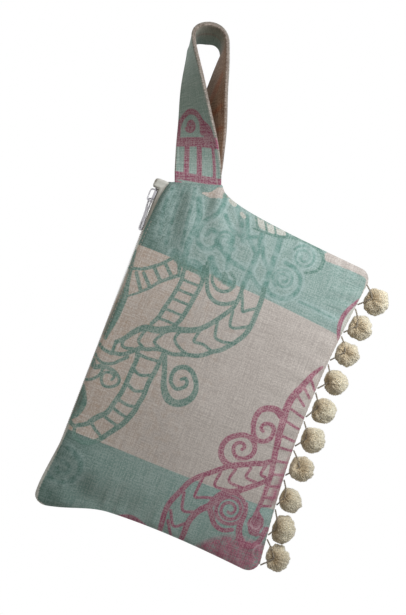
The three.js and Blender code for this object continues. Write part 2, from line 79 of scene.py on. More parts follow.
def addObject(name, data):
    holder = bpy.data.objects.new(name, data)
    bpy.context.scene.collection.objects.link(holder)
    return holder


def addCamera():
    camera = bpy.data.cameras.new("camera")
    camera.sensor_width = photo["sensor"]
    frameHeight = photo["height"] * photo["scale"]
    camera.lens = photo["sensor"] * photo["distance"] / frameHeight
    camera.clip_start = 0.01
    holder = addObject("camera", camera)
    across = (photo["width"] / 2 - photo["crownColumn"]) * photo["scale"]
    down = (photo["height"] / 2 - photo["crownRow"]) * photo["scale"]
    holder.location = Vector((across, -photo["distance"], -down)) * mm
    holder.rotation_euler = (math.radians(90), 0, 0)
    bpy.context.scene.camera = holder


lamps = {
    "key": {"place": (0.34, -0.31, -0.05), "aim": (0.04, 0, -0.26),
            "size": 0.34, "power": 2.12, "tint": (0.95, 0.98, 1.0)},
    "fill": {"place": (-0.32, -0.40, 0.18), "aim": (0, 0, -0.05),
             "size": 0.25, "power": 0.45, "tint": (1.0, 0.94, 0.84)},
    "behind": {"place": (-0.3, 1.1, 0.5), "aim": (0, 0, -0.25),
               "size": 0.9, "power": 9.0, "tint": (1.0, 1.0, 1.0)},
}


def addLamps():
    for name, lamp in lamps.items():
        light = bpy.data.lights.new(name, "AREA")
        light.size = lamp["size"]
        light.energy = lamp["power"]
        light.color = lamp["tint"]
        holder = addObject(name, light)
        holder.location = lamp["place"]
        aim = Vector(lamp["aim"]) - Vector(lamp["place"])
        holder.rotation_euler = aim.to_track_quat("-Z", "Y").to_euler()


# one socket of a node tree; sums and products of wires add Math nodes
class Wire:
    def __init__(self, tree, socket):
        self.tree, self.socket = tree, socket

    # settings are set before sockets; a list of outputs gives a list of wires
    def node(self, kind, settings=None, sockets=None, output=0):
        made = self.tree.nodes.new(kind)
        for name, value in (settings or {}).items():
            setattr(made, name, value)
        for name, value in (sockets or {}).items():
            if isinstance(value, (Wire, list)):
                for wire in value if isinstance(value, list) else [value]:
                    self.tree.links.new(wire.socket, made.inputs[name])
            else:
                made.inputs[name].default_value = value
        if isinstance(output, list):
            return [Wire(self.tree, made.outputs[each]) for each in output]
        return Wire(self.tree, made.outputs[output])

    def maths(self, operation, first, second=0.0, clamp=False):
        settings = {"operation": operation, "use_clamp": clamp}
        return self.node("ShaderNodeMath", settings, {0: first, 1: second})

    def __add__(self, other):
        return self.maths("ADD", self, other)

    def __sub__(self, other):
        return self.maths("SUBTRACT", self, other)

    def __rsub__(self, other):
        return self.maths("SUBTRACT", other, self)

    def __mul__(self, other):
        return self.maths("MULTIPLY", self, other)

    def __truediv__(self, other):
        return self.maths("DIVIDE", self, other)

    __radd__, __rmul__ = __add__, __mul__

    def limited(self):
        return self.maths("ADD", self, 0.0, clamp=True)

    def sine(self):
        return self.maths("SINE", self)

    def exponent(self):
        return self.maths("EXPONENT", self)

    def largest(self, other):
        return self.maths("MAXIMUM", self, other)

    def mix(self, first, second):
        return self.node("ShaderNodeMix", {"data_type": "RGBA"}, {0: self, 6: first, 7: second}, 2)

    def vector(self, operation, sockets, output=0):
        return self.node("ShaderNodeVectorMath", {"operation": operation}, sockets, output)

    def dot(self, other):
        return self.vector("DOT_PRODUCT", {0: self, 1: other}, "Value")

    def scaled(self, amount):
        return self.vector("SCALE", {0: self, "Scale": amount})

    def unitAwayFrom(self, other):
        return self.vector("NORMALIZE", {0: self.vector("SUBTRACT", {0: self, 1: other})})

    def noise(self, place, scale, detail=2.0, roughness=0.5):
        sockets = {"Vector": place, "Scale": scale, "Detail": detail, "Roughness": roughness}
        return self.node("ShaderNodeTexNoise", None, sockets, "Fac")

    def stretched(self, place, scale):
        return self.node("ShaderNodeMapping", None, {"Vector": place, "Scale": scale})

    def bump(self, strength, distance):
        sockets = {"Strength": strength, "Distance": distance, "Height": self}
        return self.node("ShaderNodeBump", None, sockets)

    def attribute(self, name):
        return self.node("ShaderNodeAttribute", {"attribute_name": name}, None, "Fac")

    def objectPlace(self):
        return self.node("ShaderNodeTexCoord", None, None, "Object")


def startMaterial(name):
    material = bpy.data.materials.new(name)
    material.use_nodes = True
    material.node_tree.nodes.clear()
    return material, Wire(material.node_tree, None)


def finishMaterial(shade, look):
    surface = shade.node("ShaderNodeBsdfPrincipled", None, look)
    shade.node("ShaderNodeOutputMaterial", None, {"Surface": surface}, [])


def srgb(red, green, blue):
    def linear(value):
        share = value / 255
        return share / 12.92 if share <= 0.04045 else ((share + 0.055) / 1.055) ** 2.4
    return (linear(red), linear(green), linear(blue), 1.0)


room = {
    "sky": (1.0, 0.96, 0.88, 1.0), "skyLight": 0.13, "seen": (1.0, 1.0, 1.0, 1.0),
    "floorDrop": 0.66, "floorRadius": 0.33, "floor": srgb(236, 235, 232), "floorPatch": srgb(228, 227, 224),
}


def addSky():
    world = bpy.data.worlds.new("room")
    world.use_nodes = True
    world.node_tree.nodes.clear()
    shade = Wire(world.node_tree, None)
    rays = ["Is Camera Ray", "Is Glossy Ray", "Is Transmission Ray"]
    camera, glossy, through = shade.node("ShaderNodeLightPath", None, None, rays)
    light = shade.node("ShaderNodeBackground", None, {"Color": room["sky"], "Strength": room["skyLight"]})
    plain = shade.node("ShaderNodeBackground", None, {"Color": room["seen"], "Strength": 1.0})
    both = {0: camera.largest(glossy).largest(through), 1: light, 2: plain}
    shade.node("ShaderNodeOutputWorld", None, {0: shade.node("ShaderNodeMixShader", None, both)}, [])
    bpy.context.scene.world = world
    bpy.context.scene.view_settings.view_transform = "Standard"


def addFloor():
    material, shade = startMaterial("paleFloor")
    tone = shade.noise(shade.objectPlace(), 3.0).mix(room["floor"], room["floorPatch"])
    finishMaterial(shade, {"Base Color": tone, "Roughness": 0.8})
    bpy.ops.mesh.primitive_circle_add(vertices=96, radius=room["floorRadius"], fill_type="NGON")
    floor = bpy.context.object
    floor.name = "floor"
    floor.data.transform(Matrix.Translation((0, 0, -room["floorDrop"])))
    floor.data.materials.append(material)


# the bag's own directions: u along the zip, v from the zip to the fringe, w out of the front, in mm

bagShape = {
    "zipLength": 287.0, "fringeLength": 268.0, "depth": 189.0,
    "fringeBow": 10.0, "farBow": 11.8, "farBowPlace": 0.3, "corners": ((3.0, 10.0), (11.0, 14.0)),
    "peakRise": 17.0, "peakPlace": 47.0, "peakFall": 24.0, "peakPower": 0.6,
    "bulge": 10.0, "endReach": 90.0, "sideReach": 95.0, "swell": 0.6,
    "mouthHalf": 6.5, "mouthReach": 22.0, "mouthFade": 60.0,
    "seamHalf": 0.15, "headerHalf": 0.7, "cloth": 1.2,
}
zipLength, depth = bagShape["zipLength"], bagShape["depth"]
endTaper = (zipLength - bagShape["fringeLength"]) / 2
alongZip = np.array(joints["zip_slide"]["axis"], float)
outFront = np.array([0.0, -1.0, 0.0])
toFringe = np.cross(outFront, alongZip)
bagStart = np.array(joints["mouth_open"]["pos_m"]) / mm - alongZip * zipLength / 2 - toFringe * depth
bagAxes = np.stack([alongZip, toFringe, outFront, bagStart], 1) * mm
bagMatrix = Matrix([*bagAxes.tolist(), [0, 0, 0, 1]])


def inBag(u, v, w):
    u, v, w = np.broadcast_arrays(np.asarray(u, float), v, w)
    return (bagStart + u[..., None] * alongZip + v[..., None] * toFringe + w[..., None] * outFront) * mm


# the end seam is drawn up where the strap is sewn in
def strapRise(v):
    beyond = np.maximum(v - bagShape["peakPlace"], 0)
    fall = np.exp(-(beyond / bagShape["peakFall"]) ** bagShape["peakPower"])
    fall = fall * (1 - (beyond / (depth - bagShape["peakPlace"])) ** 4)
    return bagShape["peakRise"] * np.minimum(v / bagShape["peakPlace"], 1) * fall


# how far the far end is drawn in
def farDraw(t):
    place = bagShape["farBowPlace"]
    before = (1 - np.cos(np.pi * t / place)) / 2
    after = np.cos(np.pi / 2 * (t - place) / (1 - place))
    return bagShape["farBow"] * np.where(t <= place, before, after)


def fringeSeam(u):
    share = (u - endTaper) / bagShape["fringeLength"]
    return depth - bagShape["fringeBow"] * np.sin(np.pi * share)


# flat place of a point s from end to end and t from the zip to the fringe
def planePoint(s, t):
    fringeU = endTaper + s * bagShape["fringeLength"]
    strapU = endTaper * t - strapRise(t * depth)
    farU = zipLength - endTaper * t - farDraw(t)
    farCorner = endTaper + bagShape["fringeLength"]
    cornersU = s * (1 - t) * zipLength + (1 - s) * t * endTaper + s * t * farCorner
    u = (1 - t) * s * zipLength + t * fringeU + (1 - s) * strapU + s * farU - cornersU
    v = t * fringeSeam(fringeU)
    return u, v


def roundCorners(fromEnd, fromZip):
    nearStrap, nearZip = fromEnd <= zipLength / 2, fromZip <= depth / 2
    (zipStart, fringeStart), (zipEnd, fringeEnd) = bagShape["corners"]
    startRadius = np.where(nearZip, zipStart, fringeStart)
    radius = np.where(nearStrap, startRadius, np.where(nearZip, zipEnd, fringeEnd))
    nearEnd = np.minimum(fromEnd, zipLength - fromEnd)
    nearSide = np.minimum(fromZip, depth - fromZip)
    p, q = np.maximum(radius - nearEnd, 0), np.maximum(radius - nearSide, 0)
    drawn = (p > 0) & (q > 0)
    end = np.where(drawn, radius - p * np.sqrt(1 - q * q / (2 * radius ** 2)), nearEnd)
    side = np.where(drawn, radius - q * np.sqrt(1 - p * p / (2 * radius ** 2)), nearSide)
    s = np.where(nearStrap, end, zipLength - end) / zipLength
    t = np.where(nearZip, side, depth - side) / depth
    return s, t


def swell(distance, reach):
    return (1 - (1 - np.minimum(distance / reach, 1)) ** 2) ** bagShape["swell"]


# half thickness of the hollow bag
def hollow(s, t):
    fromEnd = np.minimum(s, 1 - s) * zipLength
    fromZip, fromFringe = t * depth, (1 - t) * depth
    closing = np.sqrt(1 - (1 - np.minimum(fromEnd / bagShape["mouthReach"], 1)) ** 2)
    mouth = bagShape["mouthHalf"] * closing * np.maximum(1 - fromZip / bagShape["mouthFade"], 0) ** 2
    belly = swell(fromEnd, bagShape["endReach"])
    belly = belly * swell(fromZip, bagShape["sideReach"]) * swell(fromFringe, bagShape["sideReach"])
    seam = bagShape["seamHalf"] + (bagShape["headerHalf"] - bagShape["seamHalf"]) * t ** 6
    return seam + mouth + bagShape["bulge"] * belly


# mesh helpers

def newPiece(name, points, faces, material, normals=None):
    mesh = bpy.data.meshes.new(name)
    mesh.from_pydata([tuple(point) for point in points], [], [tuple(face) for face in faces])
    mesh.materials.append(material)
    mesh.polygons.foreach_set("use_smooth", [True] * len(mesh.polygons))
    piece = addObject(name, mesh)
    if normals is not None:
        mesh.normals_split_custom_set_from_vertices([tuple(normal) for normal in normals])
    mesh.update()
    return piece


def bakedMesh(holder):
    bpy.context.view_layer.update()
    return bpy.data.meshes.new_from_object(holder.evaluated_get(bpy.context.evaluated_depsgraph_get()))


def addAttribute(piece, name, values):
    layer = piece.data.attributes.new(name, "FLOAT", "POINT")
    layer.data.foreach_set("value", np.asarray(values, np.float32).ravel())


def addFlatMap(piece, across, along):
    layer = piece.data.uv_layers.new(name="flat")
    corner = np.zeros(len(piece.data.loops), int)
    piece.data.loops.foreach_get("vertex_index", corner)
    layer.data.foreach_set("uv", np.stack([across[corner], along[corner]], 1).astype(np.float32).ravel())


def gridQuads(index):
    corners = [index[:-1, :-1], index[:-1, 1:], index[1:, 1:], index[1:, :-1]]
    return np.stack(corners, -1).reshape(-1, 4)


# quads of a sheet with a face and a back, closed round its rim
def sheetFaces(rows, columns, flip):
    shift = rows * columns
    index = np.arange(shift).reshape(rows, columns)
    top = gridQuads(index)
    bottom = top[:, [0, 3, 2, 1]] + shift
    sides = []
    for edge, inward in ((index[:, 0], 1), (index[:, -1], -1), (index[0], -1), (index[-1], 1)):
        first, second = (edge[:-1], edge[1:])[::inward]
        sides.append(np.stack([first, second, second + shift, first + shift], -1))
    faces = np.concatenate([top, bottom, *sides])
    return faces[:, ::-1] if flip else faces


# quads of a tube made of rings of points, with a cap on each end
def tubeFaces(rings, count, start=0):
    index = start + np.arange(rings * count).reshape(rings, count)
    sides = gridQuads(np.concatenate([index, index[:, :1]], 1))
    return [*sides, index[0, ::-1], index[-1]]


def bothFaces(face, back):
    return np.concatenate([face.reshape(-1, 3), back.reshape(-1, 3)])


def gridNormals(points):
    along = np.gradient(points, axis=0)
    across = np.gradient(points, axis=1)
    normal = np.cross(across, along)
    return normal / np.maximum(np.linalg.norm(normal, axis=-1, keepdims=True), 1e-12)


def unitRows(rows):
    return rows / np.linalg.norm(rows, axis=1, keepdims=True)


def wayAlong(route):
    return np.concatenate([[0], np.cumsum(np.linalg.norm(np.diff(route, axis=0), axis=1))])


# weights that carry a coarse line of points to a fine one through a smooth curve
def smoothRefine(coarse, fine):
    weights = np.zeros((fine, coarse))
    for k in range(fine):
        place = k * (coarse - 1) / (fine - 1)
        base = min(int(place), coarse - 2)
        x = place - base
        share = ((-x + 2 * x ** 2 - x ** 3) / 2, (2 - 5 * x ** 2 + 3 * x ** 3) / 2,
                 (x + 4 * x ** 2 - 3 * x ** 3) / 2, (-x ** 2 + x ** 3) / 2)
        for offset, weight in zip((-1, 0, 1, 2), share):
            at = base + offset
            if at < 0:
                weights[k, 0] += 2 * weight
                weights[k, 1] -= weight
            elif at >= coarse:
                weights[k, -1] += 2 * weight
                weights[k, -2] -= weight
            else:
                weights[k, at] += weight
    return weights


def smoothCurve(points, steps):
    points = np.asarray(points, float)
    return smoothRefine(len(points), (len(points) - 1) * steps + 1) @ points


# distance from each point to a route, and the place along it in steps
def alongRoute(points, route):
    best = np.full(len(points), 1e9)
    place = np.zeros(len(points))
    for k in range(len(route) - 1):
        step = route[k + 1] - route[k]
        share = np.clip((points - route[k]) @ step / max(step @ step, 1e-9), 0, 1)
        gap = np.linalg.norm(points - route[k] - share[:, None] * step, axis=1)
        nearer = gap < best
        best[nearer] = gap[nearer]
        place[nearer] = k + share[nearer]
    return best, place


# woven ornament: strokes are lines of (u, v) points with widths, in mm

class Ornament:
    far = 8.0      # mm, past which a stroke no longer counts
    steps = 9      # of a curve between two of its points

    def __init__(self):
        self.strokes = []

    def stroke(self, route, widths):
        share = np.linspace(0, 1, len(route))
        half = np.interp(share, np.linspace(0, 1, len(widths)), np.asarray(widths) / 2)
        self.strokes.append((route, half))

    def line(self, points, *widths):
        self.stroke(smoothCurve(points, self.steps) if len(points) > 2 else np.asarray(points, float), widths)

    def lines(self, routes, *widths):
        for route in routes:
            self.line(route, *widths)

    # angles in degrees, 0 towards the fringe and 90 towards the far end
    def spiral(self, centre, outer, inner, start, turns, *widths):
        share = np.linspace(0, 1, int(abs(turns) * 26) + 2)
        angle = np.radians(start + 360 * turns * share)
        radius = inner + (outer - inner) * (1 - share) ** 0.8
        route = np.stack([centre[0] + radius * np.sin(angle), centre[1] + radius * np.cos(angle)], 1)
        self.stroke(route, widths)

    # distance in mm to the nearest stroke's rim, below 0 inside it
    def field(self, u, v):
        points = np.stack([u, v], 1)
        nearest = np.full(len(points), self.far)
        for route, half in self.strokes:
            reach = self.far + half.max()
            low, high = route.min(0) - reach, route.max(0) + reach
            near = np.nonzero(((points > low) & (points < high)).all(1))[0]
            if not len(near):
                continue
            gap, place = alongRoute(points[near], route)
            nearest[near] = np.minimum(nearest[near], gap - np.interp(place, np.arange(len(half)), half))
        return nearest


# from the zip up into the first band: two rims, then the veins
def drawTealLeaf(teal):
    teal.line([(138, 12), (133, 17), (127, 21), (121, 26), (118, 31), (117, 38), (115, 44), (111, 51),
               (109, 59), (106, 67), (102, 73), (96, 78.5), (90, 83), (84, 87), (77, 91), (69, 92.5),
               (58, 92.5)], 3.4, 4.4, 5.6, 6.2, 5.2, 4.4, 4.0, 3.6, 3.4)
    teal.line([(147, 13), (145.5, 20), (141, 26), (136, 31), (134.5, 37), (132, 43), (130.5, 50),
               (130.5, 58), (128.5, 64), (126.5, 70), (125, 76), (122, 82), (117, 88), (113, 94),
               (107.5, 99), (101, 104), (94, 108), (86, 110), (76, 110.5), (64, 110.5), (54, 109.5)],
              3.4, 3.4, 3.4, 3.4, 3.6, 3.8, 4.0, 4.2, 4.2)
    teal.lines([[(93, 83.5), (102, 85), (105.5, 87), (106.2, 93), (105, 99)],
                [(104, 72.5), (111, 71), (114.5, 71.5), (114, 79), (116.5, 87)],
                [(110, 58), (117, 55.5), (121, 58), (124.5, 64), (126, 70)],
                [(116, 46), (123, 42), (126.5, 41), (129, 45), (130, 50)],
                [(119, 31), (128, 28.5), (131.5, 29.5), (134, 34)],
                [(133, 17), (138.5, 17.5), (139.5, 21), (138, 26.5)],
                [(137, 12), (142, 12), (147, 12)],
                [(64, 94), (71, 97), (77, 99.5), (74, 104), (71, 109)],
                [(80, 92), (90.5, 93.5), (92.5, 97), (90, 103), (86.5, 109)]], 2.6, 2.6)


def drawTealLadders(teal):
    # at the zip, with the border that it stands on
    teal.line([(77, 0), (76, 6), (73.5, 12), (70, 17), (65, 23), (59, 28.5), (54, 33)], 2.4, 2.9, 2.8)
    teal.line([(99, 8), (95, 13), (91, 17), (86, 22), (80, 26.5), (75, 32), (70, 38), (67, 43)],
              1.5, 2.4, 2.9, 3.2)
    teal.line([(62, 0.5), (78, 2.5), (90, 4), (100, 6), (110, 6), (120, 5.5), (130, 4), (138, 3)],
              2, 3.6, 4, 3.8, 3)
    teal.lines([[(79, 7.5), (91, 15.5)], [(77, 13), (85.5, 21)], [(70, 19.5), (77.5, 27)],
                [(63, 26), (70.5, 34)], [(55, 33), (60, 37), (67, 40)]], 3.0, 3.2)

    # down from below the strap
    teal.line([(54, 39), (60, 42), (70, 43.5), (80, 42.5), (90, 40.5), (98, 38.5), (106, 37), (113, 33.5)],
              2.2, 3.4, 3.6, 3.4)
    teal.line([(54, 57), (60, 59), (70, 60), (80, 58.5), (90, 57), (100, 55), (108, 52)], 3, 3.8, 4, 3.6)
    rungs = ((61, 43, 59), (70.5, 44, 60), (79.5, 43, 58.5), (88, 41, 57), (98, 39, 55), (107, 37, 52.5))
    teal.lines([[(u, left), (u, right)] for u, left, right in rungs], 2.4, 2.4)

    # from the leaf to the second band
    teal.line([(139, 31), (145, 32.5), (155, 32), (166, 31.5), (175, 30.5), (185, 28), (190, 27), (195, 25),
               (199, 21), (204, 17), (209, 13.5), (213, 7)], 3.8, 4, 4, 4.4, 4.6, 3.2)
    teal.line([(132, 51.5), (140, 51), (150, 50), (160, 48.5), (170, 48.5), (178, 47), (185, 46), (191, 44),
               (198, 41), (204, 37), (211, 32), (217.5, 27.5), (222.5, 21), (224, 14.5), (222, 8.5),
               (218, 6.5)], 3.6, 4, 4, 4.4, 4.6, 4, 3.4, 2.8)
    teal.lines([[(140.5, 32), (141, 41), (140, 50)], [(153.5, 33), (156, 40), (153, 48)],
                [(166, 32), (169.5, 40), (167, 48)], [(181, 30), (182.5, 39), (181.5, 46)],
                [(189, 29), (191, 35), (192.5, 42)], [(198.5, 26), (200, 31), (201.5, 37)],
                [(207, 17), (210.5, 21), (214, 27)], [(211, 9), (214, 6), (218, 6.5)]], 2.8, 2.6)

    # cells along the end seam and the scroll that they run into
    teal.line([(10, 84), (10, 95), (9, 104), (7, 112), (5, 119), (4.5, 126), (5, 133), (7, 140.5),
               (10.5, 145.3), (16, 147.3), (22, 146), (26.5, 142), (29, 136)], 1.8, 2.4, 3.4, 3.4, 3.0, 2.0)
    teal.lines([[(-2, 81), (9, 87)], [(0, 90), (9, 95)], [(1, 99), (9, 103)], [(2, 110), (7, 113)]], 1.8, 2.0)


def drawTealScrolls(teal):
    # loop with a spiral in it
    teal.line([(50, 58), (58, 61.5), (66, 64), (72, 67), (76.5, 72), (78, 78.5), (76, 85.5), (72, 91)],
              2.6, 3.4, 3.4, 3.4)
    teal.line([(58, 65.5), (63, 67.5), (67, 72), (68, 77), (66, 82), (61, 85), (55, 84), (51, 79)],
              2.4, 2.9, 2.9, 2.4)
    teal.line([(54, 74.5), (57, 76.5), (60, 77)], 4, 5.5, 4)

    # large spiral under the leaf
    teal.line([(131, 52), (139, 55), (148, 58), (157, 61), (163, 65), (166.5, 70), (166.5, 76), (163, 82),
               (157, 86), (150, 86.5), (144, 84), (138.5, 79), (136.5, 73), (139, 67), (144, 64.2),
               (150, 64.5), (154, 67.5), (155.5, 72), (152, 77), (148, 78), (145, 75.5), (147, 72.5)],
              3.8, 4.6, 6.8, 5.8, 4.2, 4.2, 3.6, 3.2, 3.0, 2.6)

    # cut off by the zip's edge
    teal.line([(144, 0), (147, 5), (148, 12)], 3, 3)
    teal.line([(153, 0), (157, 5), (157.5, 10), (155, 16), (151, 20), (146, 25)], 2.4, 2.6, 2.8)
    teal.line([(159, 0), (163, 3), (161, 8), (160, 14), (161, 20), (165, 25), (170, 25), (174, 20),
               (174.5, 15), (170, 11.5), (165, 12), (163, 16), (164.5, 20.5), (168, 19.5)],
              5, 3, 2.5, 2.4, 2.3)
    teal.line([(161, 10), (168, 9), (173, 5), (176, 0)], 2.4, 2.6)
    teal.line([(181, 0), (189, 4.5), (195, 6), (201, 5), (206, 3), (210, -1)], 3, 4, 4, 3)
    teal.line([(212, 0), (214.5, 5)], 4, 3)


# where the same ladders and scrolls are faint: in the first band and beside the zip; the strokes along the
# folds under the strap are painted shade
def drawFaintScrolls(mistAndShade):
    mistAndShade.line([(183, -1), (192, 2), (200, 2), (207, 0)], 3, 6, 5, 3)
    mistAndShade.line([(94, 3), (110, 3.5), (124, 3), (136, 2)], 2, 5, 5, 3)
    for width, routes in (
            (1.6, [[(53, 140), (54, 155), (56, 172)]]),
            # painted shade: the three strokes on this line and the next follow the folds under the strap and
            # darken them
            (2.6, [[(0, 17), (22, 18), (48, 21)], [(-3, 27), (18, 30), (44, 33)]]),
            (3.0, [[(4, 7), (22, 8), (42, 13)]]),
            (3.2, [[(20, 95), (30, 100), (36, 106)], [(44, 94), (50, 99), (54, 106)],
                   [(244, 8), (247, 15), (253, 14), (254, 8), (250, 6)]]),
            (3.4, [[(2, 75), (14, 80), (22, 86), (28, 92)], [(8, 58), (16, 66), (20, 78), (16, 88)]]),
            (3.6, [[(27, 118), (29, 127), (33, 133), (40, 135.5), (47, 135), (53, 131), (56, 124),
                    (55.5, 116), (52, 110)]]),
            (4.0, [[(-8, 52), (2, 53.5), (12, 50), (20, 44), (30, 42), (38, 46), (40, 54), (34, 60),
                    (26, 58), (24, 52), (29, 49)], [(-5, 62), (4, 69), (14, 75), (23, 79)],
                   [(22, 70), (34, 71.5), (48, 75)], [(30, 58), (36, 66), (42, 76), (44, 88)]]),
            (4.2, [[(232, 8), (238, 19), (247, 23), (256, 21), (262, 13), (261, 4), (254, -1), (246, 0)]]),
            (4.4, [[(58, 92.5), (44, 93), (28, 93.5), (12, 92)]]),
            (4.8, [[(54, 109.5), (36, 108.5), (20, 108), (8, 107)]]),
            (5.0, [[(4, 33), (16, 38), (28, 39), (40, 38), (50, 39)]]),
            (6.0, [[(46, 60), (54, 66), (58, 74), (60, 84)]]),
            (9.0, [[(53, 31), (57, 40), (56, 50), (59, 58)]])):
        mistAndShade.lines(routes, width, width)
    mistAndShade.spiral((17.5, 130.7), 10.0, 1.6, 200, 2.0, 1.8, 1.8)
    mistAndShade.spiral((40.5, 121.5), 9.0, 1.4, 120, 2.0, 2.2, 2.0)
    mistAndShade.spiral((28, 66), 9.5, 1.6, 20, 2.0, 2.4, 2.0)


# beside the fringe, with rungs out to the seam and two spirals
def drawPinkStem(pink):
    pink.line([(97, 177.5), (104, 173), (111, 170), (119, 167), (125, 164.3), (132, 162.5), (140, 162),
               (150, 163), (160, 164), (170, 165.5), (180, 167), (190, 169), (200, 170), (213, 170.5),
               (222, 170), (229, 169.5)], 2.6, 4.8, 5.6, 6.2, 6.0, 5.6, 5.0, 4.4, 3.8, 3.2)
    pink.lines([[(110, 173), (117, 179)], [(118, 170), (124.5, 177)], [(126, 167), (132, 175)],
                [(138, 166), (141.5, 178)], [(149, 166), (151.5, 178)], [(161, 166), (162.5, 178)],
                [(171, 167), (170.5, 179)], [(182.5, 168), (181, 179)], [(194, 170), (191.5, 180)],
                [(204, 171), (202, 180)], [(214, 171), (211.5, 180)], [(222, 170), (219, 179)]], 2.3, 2.3)
    pink.line([(34, 186.5), (43, 181.5), (50, 179), (58, 178.3), (65, 180), (71, 183)], 2.6, 3.8, 4, 3.6, 2.6)
    pink.line([(147, 163), (146, 160), (143, 155), (143.5, 149), (147, 143), (154, 140.5), (162, 141.5),
               (169, 145), (171.5, 150), (169.5, 156), (164, 159), (158, 158), (155.5, 154), (157, 149.5),
               (161, 148), (163, 150.5)], 5.8, 5.8, 4.8, 4.2, 4.0, 3.6, 3.2, 3.0)
    pink.line([(183, 167), (188, 160), (190, 154), (193, 148), (195.5, 142), (198.5, 136), (197, 129.5),
               (192.5, 124.8), (186, 123.5), (180, 125), (175, 129.5), (171.5, 136), (171.5, 142),
               (174.5, 147), (180, 149.5), (185, 148.5), (189, 144.5), (190.5, 139), (188, 134.5),
               (183, 132.5), (179, 134.5), (178, 138.5), (180.5, 141), (183, 139.5)],
              4.4, 4.6, 5.2, 4.8, 4.4, 4.2, 3.8, 3.2, 3.0, 2.8)


# across the second band: two rims, the veins and the scrolls at the fringe's end
def drawPinkLeaf(pink):
    pink.line([(199, 135), (205, 128), (211, 121), (217, 114), (223, 109), (230, 106), (237, 103),
               (245, 100), (254, 99), (263, 100), (272, 101)], 4.4, 4.2, 4.4, 4.6, 4.4, 4.2)
    pink.line([(199, 169), (204, 164), (208, 159), (212, 154), (216, 149), (219, 144), (223, 138),
               (229, 134), (236, 131), (241, 126), (248, 122), (256, 120), (265, 120), (274, 120)],
              3.8, 4.4, 5.2, 6.2, 5.4, 4.8, 4.6)
    pink.lines([[(189, 163), (196.5, 161.5), (198, 166)], [(195, 152), (203, 151), (204.5, 160)],
                [(200, 140.5), (211, 139), (212.5, 151)], [(207, 130), (218.5, 129.5), (218.5, 141)],
                [(216, 118), (225, 117.3), (233, 117.5), (231, 124), (229, 131)],
                [(233, 108), (247, 112), (245, 122)], [(251, 103), (262.5, 110), (257, 118)],
                [(260, 104), (272, 111)]], 2.6, 2.4)
    pink.spiral((233, 148), 14, 2.2, 250, 2.6, 3.2, 3.0, 2.8, 2.4)
    pink.line([(236, 131), (243, 136), (249, 141), (251, 149), (248, 156)], 5, 4.2, 3.6)
    pink.line([(229, 170.5), (233, 172), (238, 172.5), (242, 173)], 6, 12, 14, 10)
    pink.line([(237.5, 181), (243, 180), (246, 176)], 1.6, 2.0, 2.2)
    pink.line([(224, 159), (232, 161), (240, 160.5), (248, 162), (254, 166), (257, 172), (254, 178),
               (247, 181.5), (238, 183)], 3.6, 4.8, 6.0, 5.0, 3.6)
    pink.line([(273, 64), (269.5, 76), (273, 90)], 3, 5, 3)


# beige that shows through the aqua, and pale edges of cells and seams
def drawPaleCells(pale, rim, outlined):
    pale.line([(-10, 53), (-7, 47), (-3, 41), (-2, 34)], 8, 10, 5, 1.5)
    pale.line([(10, 150), (10, 158)], 7.5, 7.5)
    pale.line([(9.5, 150), (10, 165), (11, 178), (14, 187), (24, 189), (34, 188)], 7.5, 7.5, 6.5, 5, 4, 3)
    for width, cells in ((3.0, [[(2, 70), (4, 73)]]), (4.0, [[(-5, 58), (-3, 62)], [(2, 84), (4, 87)]]),
                         (5, [[(5, 104.5), (5, 108)]]), (7, [[(4, 88.5), (5, 92)], [(5, 97), (5.5, 100)]])):
        rim.lines(cells, width, width)
    rim.line([(46, 0), (70, 0), (100, 0)], 1.0, 2.2, 1.6)
    rim.line([(16, 190), (26, 189.5), (33, 188.5)], 3, 6, 2)
    rim.line([(38, 187.5), (47, 184), (57, 182.5), (66, 183)], 2, 4.6, 4.6, 2)
    rim.line([(212, 0.2), (250, 0.2), (280, 0.8), (286, 8)], 2.0, 3.6, 3.6, 2.0)
    outlined.lines([[(232.5, 168.5), (237.2, 168), (240.6, 170.9), (240.3, 175), (236.5, 176.8)],
                    [(252, 183), (255, 179.5), (260, 179), (264, 182.5)]], 1.0, 1.5, 1.0)


def drawScrolls():
    kinds = ("teal", "pink", "pale", "rim", "mistAndShade", "mottle", "outlined")
    ornament = {kind: Ornament() for kind in kinds}
    drawTealLeaf(ornament["teal"])
    drawTealLadders(ornament["teal"])
    drawTealScrolls(ornament["teal"])
    drawFaintScrolls(ornament["mistAndShade"])
    drawPinkStem(ornament["pink"])
    drawPinkLeaf(ornament["pink"])
    drawPaleCells(ornament["pale"], ornament["rim"], ornament["outlined"])
    # where pink is strewn over the aqua
    ornament["mottle"].line([(276, 134), (270, 146), (267, 158), (267, 170), (266, 184)], 6, 18, 28, 32, 30)
    ornament["mottle"].line([(168, 181), (190, 180), (214, 178)], 2, 5, 6)
    return ornament


# cloth of the bag and its strap

